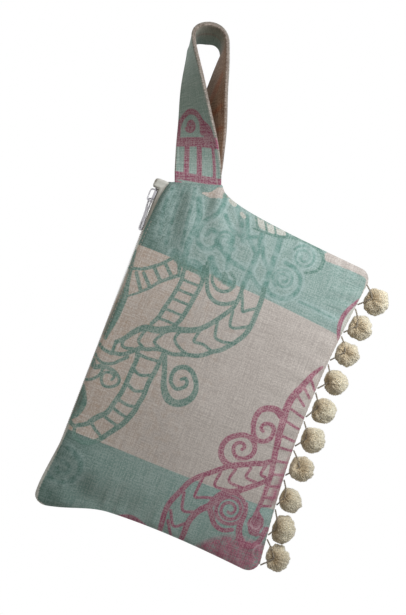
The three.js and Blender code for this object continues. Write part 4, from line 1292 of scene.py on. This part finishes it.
def drawStrap():
    pink, rust = Ornament(), Ornament()
    pink.line([(37, -24), (36.5, 0), (34, 24)], 8, 8, 9)
    pink.line([(8.6, -24), (6, 0), (3.2, 24)], 6.4, 6.4, 6.4)
    pink.line([(42, -18), (52, -17.2), (58, -13.5), (61.5, -8), (62.3, -4), (61, 1.5), (57.5, 5.5), (52, 7.5),
               (44, 7)], 5, 5, 5, 5)
    pink.spiral((50.5, -4.8), 5.6, 0.8, 200, 1.4, 2.4, 2.9, 3.2)
    pink.line([(53, 8.5), (46, 12), (38, 13)], 4, 9, 10)
    for low, high, width in ((-9.8, -8.4, 4.6), (1.0, 2.6, 4.4), (13.6, 14.8, 2.6)):
        pink.line([(8, low), (36, high)], width, width)
    pink.line([(2, -20), (1, -15)], 5, 4)
    rust.line([(92, 10), (82, 2), (70, -4), (58, -10)], 7, 11, 9, 6)
    rust.line([(66, 14), (60, 4), (54, -8)], 5, 7, 5)
    rust.line([(48, 16), (44, 2), (38, -10)], 5, 6, 4)
    rust.line([(28, 14), (22, 2), (16, -12)], 5, 5, 4)
    return pink, rust


# places across, levels and sides of the points round the strap's section
def strapSection():
    half, thick = strap["width"] / 2, strap["thickness"] / 2
    across = np.linspace(-half + strap["lip"], half - strap["lip"], strap["columns"])
    rounding = np.radians(strap["lipAngles"])
    lips = half - strap["lip"] + strap["lipBulge"] * np.cos(rounding)
    place = np.concatenate([across, lips, across[::-1], -lips])
    fromRim = np.abs(across) - half
    height = 1 + strap["hemSwell"] * np.exp(-((fromRim + strap["swellPlace"]) / strap["swellHalf"]) ** 2)
    height = height - strap["groove"] * np.exp(-((fromRim + strap["hem"]) / strap["grooveHalf"]) ** 2)
    lipLevel = thick * np.sin(rounding)
    level = np.concatenate([thick * height, lipLevel, -thick * height[::-1], -lipLevel])
    face = np.ones(len(across))
    facing = np.concatenate([face, [1, 1, -1, -1], -face, [-1, -1, 1, 1]])
    return place, level, facing


strapTone = {
    "legFrom": 12, "legReach": 14, "crown": 0.25, "crownSlope": 0.02,
    "rim": 0.9, "rimWidth": 1.0, "rimSoft": 0.7, "seamPlace": 2.0, "seamHalf": 1.5, "seamReach": 20,
}


def markStrap(piece, along, aside, outer, total):
    fromCrown = along - total / 2
    toRim = np.abs(aside) - strap["width"] / 2
    addFlatMap(piece, aside + np.where(outer, 0, strap["reverseShift"]), along)
    pink, rust = drawStrap()
    far = np.full(len(along), Ornament.far)
    addAttribute(piece, "pink", np.where(outer, pink.field(along, aside), far))
    addAttribute(piece, "rust", np.where(outer, far, rust.field(total - along, aside)))
    addAttribute(piece, "teal", far)
    backLeg = np.clip((fromCrown - strapTone["legFrom"]) / strapTone["legReach"], 0, 1)
    crownSide = np.clip(strapTone["crown"] + strapTone["crownSlope"] * aside, 0, 1)
    addAttribute(piece, "reverse", np.where(outer, 0.0, crownSide + (1 - crownSide) * backLeg))
    rim = np.clip((toRim + strapTone["rimWidth"]) / strapTone["rimSoft"], 0, 1) * strapTone["rim"]
    fromSeam = ((aside - strapTone["seamPlace"]) / strapTone["seamHalf"]) ** 2
    underSeam = np.exp(-fromSeam - (fromCrown / strapTone["seamReach"]) ** 4)
    addAttribute(piece, "hem", np.where(outer, rim, np.maximum(rim, underSeam)))


stitch = {
    "strap": {"Pitch": 3.2, "Length": 2.4, "Thickness": 0.5},
    "zip": {"Pitch": 3.3, "Length": 2.3, "Thickness": 0.5},
}


# bakes the strap's place into its mesh
def flexStrap(piece):
    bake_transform(piece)


def addStrap(stitches, thread):
    material = jacquardMaterial("strapCloth", False)
    middle, width, out, way = strapRows()
    place, level, facing = strapSection()
    rows, ring, total = len(middle), len(place), way[-1]
    fromFoot = np.minimum(way, total - way)
    flatten = np.clip(fromFoot / strap["flatReach"], strap["flatFoot"], 1)
    loose = strap["ripple"] * np.clip((fromFoot - strap["looseFrom"]) / strap["looseReach"], 0, 1)

    def ripple(aside):
        return np.sin(way / strap["ripplePitch"] + aside / strap["rippleSkew"]) * loose

    offset = np.stack([level[k] * flatten + ripple(place[k]) for k in range(ring)], 1)
    points = middle[:, None] + width[:, None] * place[None, :, None] + out[:, None] * offset[..., None]
    piece = newPiece("strap_cloth", points.reshape(-1, 3) * mm, tubeFaces(rows, ring), material)
    markStrap(piece, np.repeat(way, ring), np.tile(place, rows), np.tile(facing, rows) > 0, total)
    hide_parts("wrist_strap", "strap_sewn_end")
    flexStrap(piece)
    groove = strap["thickness"] / 2 * (1 - strap["groove"]) * flatten + strap["stitchProud"]
    for name, side, face in (("a", 1, 1), ("b", -1, 1), ("c", 1, -1), ("d", -1, -1)):
        aside = side * (strap["width"] / 2 - strap["hem"])
        row = middle + width * aside + out * (face * groove + ripple(aside))[:, None]
        values = {**stitch["strap"], "Material": thread}
        grown = growPiece("strap_stitch_" + name, stitches, row, values, Matrix.Scale(mm, 4))
        flexStrap(grown)
    print("strap made")


# zip

zipShape = {
    "from": 3.0, "to": 274.0, "teethFrom": 7.6, "teethTo": 278.0, "pitch": 1.6,
    "toothMiddle": 1.45, "toothLevel": -1.8, "tapeThickness": 0.5, "tapeRim": 1.25, "tapeLevel": -1.25,
    "tapeGap": 0.35, "tapeTurn": 0.62, "tapeTuck": 7.0, "tapeUnder": 0.6, "tapeBend": (0.4, 1.6),
    "tapeRipple": 0.12, "ripplePitch": 5.0, "tapeStep": 2.0, "tapeColumns": 12,
    "stopLevels": (-2.1, -0.9), "stopBevel": 0.35,
}
# u and w ranges of the stops; middle, half sizes and phase of the creases of the folded ends
zipStops = {
    "zip_top_stop_front": ((5, 7), (1.3, 2.7)), "zip_top_stop_back": ((5, 7), (-2.7, -1.3)),
    "zip_end_stop": ((278.5, 282), (-2.7, 2.7)),
}
zipEndTabs = {
    "zip_end_tab_upper": ((3.4, -0.5, 0.9), (4.2, 6.6, 3.0), 1.0),
    "zip_end_tab_lower": ((277.0, 3.0, 0.0), (2.4, 2.2, 0.6), 4.0),
}


# from its rim beside the teeth out to the cloth's edge, then tucked under it
def tapePiece(name, side, uRange, material):
    u = np.linspace(*uRange, int((uRange[1] - uRange[0]) / zipShape["tapeStep"]) + 2)
    share = np.linspace(0, 1, zipShape["tapeColumns"])
    setback = zipSetback(u) if side > 0 else 0 * u
    edge = hollow(np.clip(u / zipLength, 0, 1), 0.0) + zipShape["tapeGap"]
    rim = np.minimum(zipShape["tapeRim"], edge)
    turned = np.clip(share / zipShape["tapeTurn"], 0, 1)[None, :]
    tucked = np.clip((share - zipShape["tapeTurn"]) / (1 - zipShape["tapeTurn"]), 0, 1)[None, :]
    outBend, downBend = zipShape["tapeBend"]
    w = rim[:, None] + (edge - rim)[:, None] * turned ** outBend
    drop = setback[:, None] + zipShape["tapeUnder"] - zipShape["tapeLevel"]
    v = zipShape["tapeLevel"] + drop * turned ** downBend + zipShape["tapeTuck"] * tucked
    ripple = zipShape["tapeRipple"] * np.sin(u / zipShape["ripplePitch"])
    v = v + ripple[:, None] * np.sin(share * math.pi)[None, :]
    points = inBag(u[:, None] + 0 * w, v, side * w)
    normal = gridNormals(points)
    if (normal @ toFringe).mean() > 0:
        normal = -normal
    back = points - normal * zipShape["tapeThickness"] * mm
    return newPiece(name, bothFaces(points, back), sheetFaces(*points.shape[:2], side < 0), material)


# the two rows of teeth lie half a pitch apart
def coilPiece(name, side, uRange, tree, material):
    u = np.arange(*uRange, zipShape["pitch"]) + (0 if side > 0 else zipShape["pitch"] / 2)
    points = [(place, zipShape["toothLevel"], side * zipShape["toothMiddle"]) for place in u]
    return growPiece(name, tree, points, {"Pitch": zipShape["pitch"], "Material": material}, bagMatrix)


def loosePrism(name, outline, low, high, place):
    count = len(outline)
    points = [place(a, b, level) for level in (low, high) for a, b in outline]
    mesh = bpy.data.meshes.new(name)
    mesh.from_pydata(points, [], [tuple(face) for face in tubeFaces(2, count)])
    made = bmesh.new()
    made.from_mesh(mesh)
    bmesh.ops.recalc_face_normals(made, faces=made.faces)
    made.to_mesh(mesh)
    made.free()
    return addObject(name, mesh)


# prism with softened edges; place turns (a, b, level) into the bag's (u, v, w)
def prism(name, outline, low, high, place, holes=(), bevel=0.25):
    body = loosePrism(name, outline, low, high, place)
    cutters = [loosePrism(name + "_cut", hole, low - 1, high + 1, place) for hole in holes]
    for cutter in cutters:
        cut = body.modifiers.new("cut", "BOOLEAN")
        cut.object = cutter
        cut.operation = "DIFFERENCE"
        cut.solver = "EXACT"
    rounded = body.modifiers.new("rounded", "BEVEL")
    rounded.width = bevel
    rounded.segments = 3
    rounded.limit_method = "ANGLE"
    rounded.angle_limit = math.radians(40)
    mesh = bakedMesh(body)
    for used in [body, *cutters]:
        bpy.data.objects.remove(used)
    return mesh


def joinMeshes(name, meshes, material, matrix):
    whole = bmesh.new()
    for mesh in meshes:
        whole.from_mesh(mesh)
    joined = bpy.data.meshes.new(name)
    whole.to_mesh(joined)
    whole.free()
    joined.materials.clear()
    joined.materials.append(material)
    joined.transform(matrix)
    for face in joined.polygons:
        face.use_smooth = True
        face.material_index = 0
    joined.set_sharp_from_angle(angle=math.radians(38))
    return addObject(name, joined)


def acrossZip(a, b, level):
    return (a, level, b)


def besideZip(a, b, level):
    return (a, b, level)


def roundedEnd(u, radius, steps):
    angles = [math.pi * k / steps for k in range(steps + 1)]
    return [(u + radius * math.sin(angle), radius * math.cos(angle)) for angle in angles]


def mirrored(outline):
    return [(u, -w) for u, w in outline[::-1]]


slider = {
    "from": 7.6, "to": 20.6, "half": 3.9,
    "plateTop": -4.0, "plateUnder": -3.0, "lowTop": -0.2, "lowUnder": 0.8,
    "bridgeTop": -8.0, "bridgeFrom": 9.1, "bridgeTo": 19.1, "bridgeWidth": 2.2, "bar": 1.0,
    "postHalf": 1.2, "postLength": 4, "postLevels": (-3.4, 0.2),
    "flangeFrom": 2.4, "flangeTo": 9.4, "flangeThickness": 0.8, "flangeLevels": (-3.5, -1.6),
}


def addSlider(material):
    start, end, half = slider["from"], slider["to"], slider["half"]
    side = [(start, 1.6), (start + 0.6, 2.7), (start + 2.2, 3.7), (start + 4.2, half),
            (start + 8.6, half), (end - 2.0, 3.2), (end, 2.6)]
    upper = side + mirrored(side)
    lower = [(u + (0.3 if u < start + 6 else -0.3), w * 0.9) for u, w in upper]
    postMiddle = start + slider["postLength"] / 2
    post = [(start, 0), (postMiddle, slider["postHalf"]),
            (start + slider["postLength"], 0), (postMiddle, -slider["postHalf"])]
    bar, foot, top = slider["bar"], slider["plateTop"] + 0.4, slider["bridgeTop"]
    first, last = slider["bridgeFrom"], slider["bridgeTo"]
    bridge = [(first - 0.9, foot), (first - 0.5, top + 1.4), (first + 0.4, top + 0.4), (first + 1.6, top),
              (last - 1.6, top), (last - 0.4, top + 0.4), (last + 0.5, top + 1.4), (last + 0.9, foot),
              (last - 0.1, foot), (last - bar + 0.4, top + 1.9), (last - bar - 0.4, top + bar),
              (first + bar + 0.4, top + bar), (first + bar - 0.4, top + 1.9), (first + 0.1, foot)]
    bridgeHalf = slider["bridgeWidth"] / 2
    meshes = [prism("upperPlate", upper, slider["plateTop"], slider["plateUnder"], acrossZip, bevel=0.3),
              prism("lowerPlate", lower, slider["lowTop"], slider["lowUnder"], acrossZip, bevel=0.3),
              prism("post", post, *slider["postLevels"], acrossZip, bevel=0.2),
              prism("bridge", bridge, -bridgeHalf, bridgeHalf, besideZip, bevel=0.3)]
    flangeStart, flangeEnd = start + slider["flangeFrom"], start + slider["flangeTo"]
    inner = half - slider["flangeThickness"]
    for hand in (1, -1):
        flange = [(flangeStart, hand * half), (flangeEnd, hand * half),
                  (flangeEnd, hand * inner), (flangeStart, hand * inner)]
        meshes.append(prism("flange", flange, *slider["flangeLevels"], acrossZip, bevel=0.2))
    piece = joinMeshes("slider_body", meshes, material, bagMatrix)
    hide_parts("zip_slider")
    carry(piece, "zip_slider")


pull = {
    "axisU": 17.05, "axisV": -5.05, "start": 16.45, "end": 45.2, "thickness": 1.2, "bevel": 0.28,
    "headHalf": 2.7, "eyeHalf": 1.5, "eyeFrom": 17.65, "eyeTo": 24.35, "neck": 2.6, "neckHalf": 2.1,
    "endRadius": 3.2, "slotLength": 6.0, "slotHalf": 1.1, "slotRim": 1.7,
    "askew": {"Z": 3.2, "Y": -4.5, "X": -35.0},      # degrees, as it hangs on its bridge
}


def addPull(material):
    start, eyeTo, head, eye = pull["start"], pull["eyeTo"], pull["headHalf"], pull["eyeHalf"]
    neck, neckHalf = eyeTo + pull["neck"], pull["neckHalf"]
    radius = pull["endRadius"]
    endCentre = pull["end"] - radius
    side = [(start, head - 0.5), (start + 0.5, head), (eyeTo - 1, head), (eyeTo + 0.8, head - 0.15),
            (neck, neckHalf), (neck + 4, neckHalf + 0.1), (endCentre - 3.4, radius - 0.35)]
    outline = side + roundedEnd(endCentre, radius, 14) + mirrored(side)
    eyeSide = [(pull["eyeFrom"], eye), (eyeTo - 0.8, eye), (eyeTo, eye - 0.7)]
    slotHalf = pull["slotHalf"]
    slotEnd = pull["end"] - pull["slotRim"] - slotHalf
    slotStart = slotEnd - pull["slotLength"] + 2 * slotHalf
    slot = roundedEnd(slotEnd, slotHalf, 8)
    slot += [(2 * slotStart - u, -w) for u, w in roundedEnd(slotStart, slotHalf, 8)]
    level, thick = pull["axisV"], pull["thickness"] / 2
    holes = (eyeSide + mirrored(eyeSide), slot)
    mesh = prism("tab", outline, level - thick, level + thick, acrossZip, holes, pull["bevel"])
    pin = Matrix.Translation((pull["axisU"], level, 0))
    askew = pin
    for axis, angle in pull["askew"].items():
        askew = askew @ Matrix.Rotation(math.radians(angle), 4, axis)
    piece = joinMeshes("pull_tab", [mesh], material, bagMatrix @ askew @ pin.inverted())
    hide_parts("zip_pull_tab")
    carry(piece, "zip_pull")


foldedTape = {
    "rings": 26, "sectors": 40, "pole": 0.02,
    "square": (0.5, 0.55, 0.7), "creases": (0.10, 0.08), "creaseShare": 0.5,
}


# a folded bit of tape, drawn as a soft lump
def lumpPiece(name, centre, half, phase, material):
    rings, sectors = foldedTape["rings"], foldedTape["sectors"]
    long, tall, deep = foldedTape["square"]
    coarse, fine = foldedTape["creases"]
    theta = np.linspace(foldedTape["pole"], math.pi - foldedTape["pole"], rings)[:, None]
    phi = np.linspace(0, 2 * math.pi, sectors, endpoint=False)[None, :]

    def power(x, p):
        return np.sign(x) * np.abs(x) ** p

    x = power(np.cos(theta), long) + 0 * phi
    y = power(np.sin(theta), long) * power(np.cos(phi), tall)
    z = power(np.sin(theta), long) * power(np.sin(phi), deep)
    crease = coarse * np.sin(9 * y + 2.2 * x + phase) + fine * np.sin(5 * x - 4 * z + 2 * phase)
    u = centre[0] + half[0] * x
    v = centre[1] + half[1] * y * (1 + foldedTape["creaseShare"] * crease)
    w = centre[2] + half[2] * z * (1 + crease)
    faces = [face[::-1] for face in tubeFaces(rings, sectors)]
    return newPiece(name, inBag(u, v, w).reshape(-1, 3), faces, material)


def addZip():
    tape, teeth = plainWeaveMaterial("zipTape"), nylonMaterial()
    nickel, coil = nickelMaterial(), coilTree()
    start, end, teethStart, teethEnd = (zipShape[key] for key in ("from", "to", "teethFrom", "teethTo"))
    middle = zipLength / 2
    for name, side, node, tapeRange, teethRange, sewnEnd in (
            ("front_{}_upper", 1, "front", (start, middle), (teethStart, middle), "strap"),
            ("front_{}_lower", 1, "front", (middle, end), (middle, end), "far"),
            ("back_{}", -1, "back", (start, end), (teethStart, teethEnd), None)):
        piece = tapePiece(name.format("tape"), side, tapeRange, tape)
        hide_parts("zip_tape_" + node)
        carry(piece, end=sewnEnd)
        piece = coilPiece(name.format("coil"), side, teethRange, coil, teeth)
        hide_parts("zip_teeth_" + node)
        carry(piece, end=sewnEnd)
    for node, ((uLow, uHigh), (wLow, wHigh)) in zipStops.items():
        outline = [(uLow, wLow), (uHigh, wLow), (uHigh, wHigh), (uLow, wHigh)]
        mesh = prism(node, outline, *zipShape["stopLevels"], acrossZip, bevel=zipShape["stopBevel"])
        piece = joinMeshes(node + "_clip", [mesh], nickel, bagMatrix)
        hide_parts(node)
        carry(piece)
    for node, shape in zipEndTabs.items():
        piece = lumpPiece(node + "_fold", *shape, tape)
        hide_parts(node)
        carry(piece)
    addSlider(nickel)
    addPull(nickel)
    print("zip made")


topStitch = {"from": 9, "margin": 6, "inset": 2.4, "proud": 0.05, "points": 240}


def addTopStitch(stitches, thread):
    u = np.linspace(topStitch["from"], zipLength - topStitch["margin"], topStitch["points"])
    middle = zipLength / 2
    for label, side, chosen, end in (("upper", 1, u <= middle, "strap"), ("lower", 1, u >= middle, "far"),
                                     ("back", -1, u > 0, None)):
        v = (zipSetback(u) if side > 0 else 0) + zipFlare(u) + topStitch["inset"]
        w = hollow(np.clip(u / zipLength, 0, 1), np.maximum(v - 1, 0) / depth) + bagShape["cloth"]
        points = inBag(u, v, side * (w + topStitch["proud"])) / mm
        values = {**stitch["zip"], "Material": thread}
        grown = growPiece("zip_stitch_" + label, stitches, points[chosen], values, Matrix.Scale(mm, 4))
        carry(grown, end=end)


# ball fringe

fringe = {
    "first": 28.3, "pitch": 25.6, "drop": 12.7, "from": 17.0, "to": 268.0, "radius": 8.9, "seed": 41,
    # how far each ball hangs from its even place, along the seam and away from it, and where it is drawn in
    "nudge": ((2.4, 0.3), (1.4, -1.3), (0, -1.6), (0, 0), (-0.8, 0),
              (-0.6, 0), (-0.3, -1.0), (2.2, -1.7), (1.5, -0.8), (-0.7, 0.5)),
    "pinch": ((-0.25, -0.6, 0.7), (-0.1, -0.5, 0.8), (-0.2, -0.35, 0.85), (0.2, -0.85, 0.4), (0, -0.9, 0.4),
              (0.15, -0.8, 0.5), (-0.2, -0.35, 0.8), (-0.2, -0.8, 0.5), (0.1, -0.9, 0.35), (0, -0.5, 0.8)),
    "swingGap": 2.1, "firm": 4.0, "lead": 12.2, "firstStitch": 19.0, "cornerReach": 26.0, "trail": 9.5,
    "stitchDrop": 1.3, "stitchOut": 0.2, "cornerRise": 0.25, "gripDepth": 2.4, "knotDepth": 5.5,
    "uneven": (0.96, 1.04), "stretch": ((0.95, 1.08), (0.97, 1.08), (0.94, 1.04)), "leastSoft": 0.5,
}
# bends: how the thread's middle points lie off the straight way, in (u, v, w)
pomThread = {
    "strand": 0.44, "strandGap": 0.8, "twist": 3.0, "steps": 12, "sides": 6, "reference": (0.3, 0.2, 1.0),
    "bends": ((0.6, 1.6, 0.6), (-0.6, -0.2, 0.5), (0.8, -0.4, 0.4), (0.4, -0.2, 0.5)),
}
header = {
    "steps": 180, "sides": 16, "bead": 0.62, "beadSwell": 0.12, "beadPitch": 2.2, "round": (1.1, 0.9),
    "inSeam": -0.2, "tongue": 9.0, "tongueHalf": 0.6, "sink": 0.1,
}


# a beaded cord on the seam, with a flat tongue that is sewn into it
def addHeader():
    u = np.linspace(fringe["from"], fringe["to"], header["steps"])
    angle = np.linspace(0, 2 * math.pi, header["sides"], endpoint=False)
    bead = header["bead"] + header["beadSwell"] * np.sin(u * 2 * math.pi / header["beadPitch"])
    tall, wide = header["round"]
    inSeam = np.cos(angle) < header["inSeam"]
    cordV = np.where(inSeam, -header["tongue"], np.maximum(np.cos(angle), header["inSeam"]) * tall)
    cordW = np.where(inSeam, header["tongueHalf"] * np.sign(np.sin(angle) + 1e-6), np.sin(angle) * wide)
    v = fringeSeam(u)[:, None] - header["sink"] + bead[:, None] * cordV[None, :]
    points = inBag(u[:, None] + 0 * v, v, bead[:, None] * cordW[None, :])
    faces = tubeFaces(len(u), len(angle))
    piece = newPiece("header_cord", points.reshape(-1, 3), faces, plainWeaveMaterial("header"))
    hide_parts("fringe_header")
    carry(piece)


# two strands twisted round a line of (u, v, w) points
def twistedThread(name, route, material):
    route = smoothCurve(route, pomThread["steps"])
    heading = unitRows(np.gradient(route, axis=0))
    side = unitRows(np.cross(heading, np.array(pomThread["reference"])))
    lift = np.cross(heading, side)
    ring = np.linspace(0, 2 * math.pi, pomThread["sides"], endpoint=False)

    def around(turn):
        return side * np.cos(turn)[:, None] + lift * np.sin(turn)[:, None]

    section = np.stack([around(np.full(len(route), angle)) for angle in ring], 1)
    points, faces = [], []
    for phase in (0, math.pi):
        turn = 2 * math.pi * wayAlong(route) / pomThread["twist"] + phase
        centre = route + around(turn) * pomThread["strand"] * pomThread["strandGap"]
        tube = centre[:, None] + pomThread["strand"] * section
        faces.extend(tubeFaces(len(route), len(ring), len(points)))
        points.extend(inBag(*np.moveaxis(tube, -1, 0)).reshape(-1, 3))
    return newPiece(name, points, faces, material)


# the side of a ball near the seam is pressed flat, which leaves it room to swing
def clearSeam(mesh, middle):
    points = np.empty(len(mesh.vertices) * 3)
    mesh.vertices.foreach_get("co", points)
    points = points.reshape(-1, 3)
    firm = fringe["firm"]
    near = middle - points[:, 1]
    soft = middle - fringeSeam(points[:, 0]) - fringe["swingGap"] - firm
    soft = np.maximum(soft, fringe["leastSoft"])
    pressed = firm + soft * np.tanh((near - firm) / soft)
    points[:, 1] = middle - np.where(near > firm, pressed, near)
    mesh.vertices.foreach_set("co", points.ravel())
    mesh.update()


# from the stitch before the ball, into the ball where it is drawn in, to the stitch after it
def threadRoute(u, centre, pinch, radius):
    first, last = max(u - fringe["lead"], fringe["firstStitch"]), u + fringe["trail"]
    raised = fringe["cornerRise"] * max(fringe["cornerReach"] - first, 0)
    lead = np.array([first, fringeSeam(first) + fringe["stitchDrop"] - raised, fringe["stitchOut"]])
    trail = np.array([last, fringeSeam(last) + fringe["stitchDrop"], fringe["stitchOut"]])
    grip = centre + pinch * (radius - fringe["gripDepth"])
    knot = centre + pinch * (radius - fringe["knotDepth"])
    slack, before, after, taut = np.array(pomThread["bends"])
    return [lead, (lead + grip) / 2 + slack, grip + before, knot,
            grip + after, (trail + grip) / 2 + taut, trail]


def addFringe(thread):
    addHeader()
    tree, yarn = pomTree(), yarnMaterial("pomYarn")
    draw = np.random.default_rng(fringe["seed"])
    for k, ((alongSeam, aside), pinch) in enumerate(zip(fringe["nudge"], fringe["pinch"])):
        label = f"{k + 1:02d}"
        u = fringe["first"] + fringe["pitch"] * k
        centre = np.array([u + alongSeam, fringeSeam(u) + fringe["drop"] + aside, 0.0])
        pinch = np.array(pinch) / np.linalg.norm(pinch)
        radius = fringe["radius"] * draw.uniform(*fringe["uneven"])
        stretch = [draw.uniform(*limits) for limits in fringe["stretch"]]
        values = {"Seed": k + 3, "Radius": radius, "Pinch": tuple(pinch.tolist()), "Material": yarn}
        place = Matrix.Translation(tuple(centre)) @ Matrix.Diagonal((*stretch, 1))
        ball = growPiece("pom_" + label, tree, [(0, 0, 0)], values, place)
        clearSeam(ball.data, centre[1])
        ball.data.transform(bagMatrix)
        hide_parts("pompom_" + label)
        carry(ball, "pompom_" + label)
        cord = twistedThread("pom_thread_" + label, threadRoute(u, centre, pinch, radius), thread)
        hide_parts("pompom_thread_" + label)
        carry(cord, "pompom_" + label)
    print("fringe made")


addCamera()
addLamps()
addSky()
addFloor()
addPanels(drawScrolls())
addLinings()
stitches = stitchTree()
paleThread = yarnMaterial("paleThread")
addStrap(stitches, paleThread)
addZip()
addTopStitch(stitches, paleThread)
addFringe(yarnMaterial("fringeThread"))
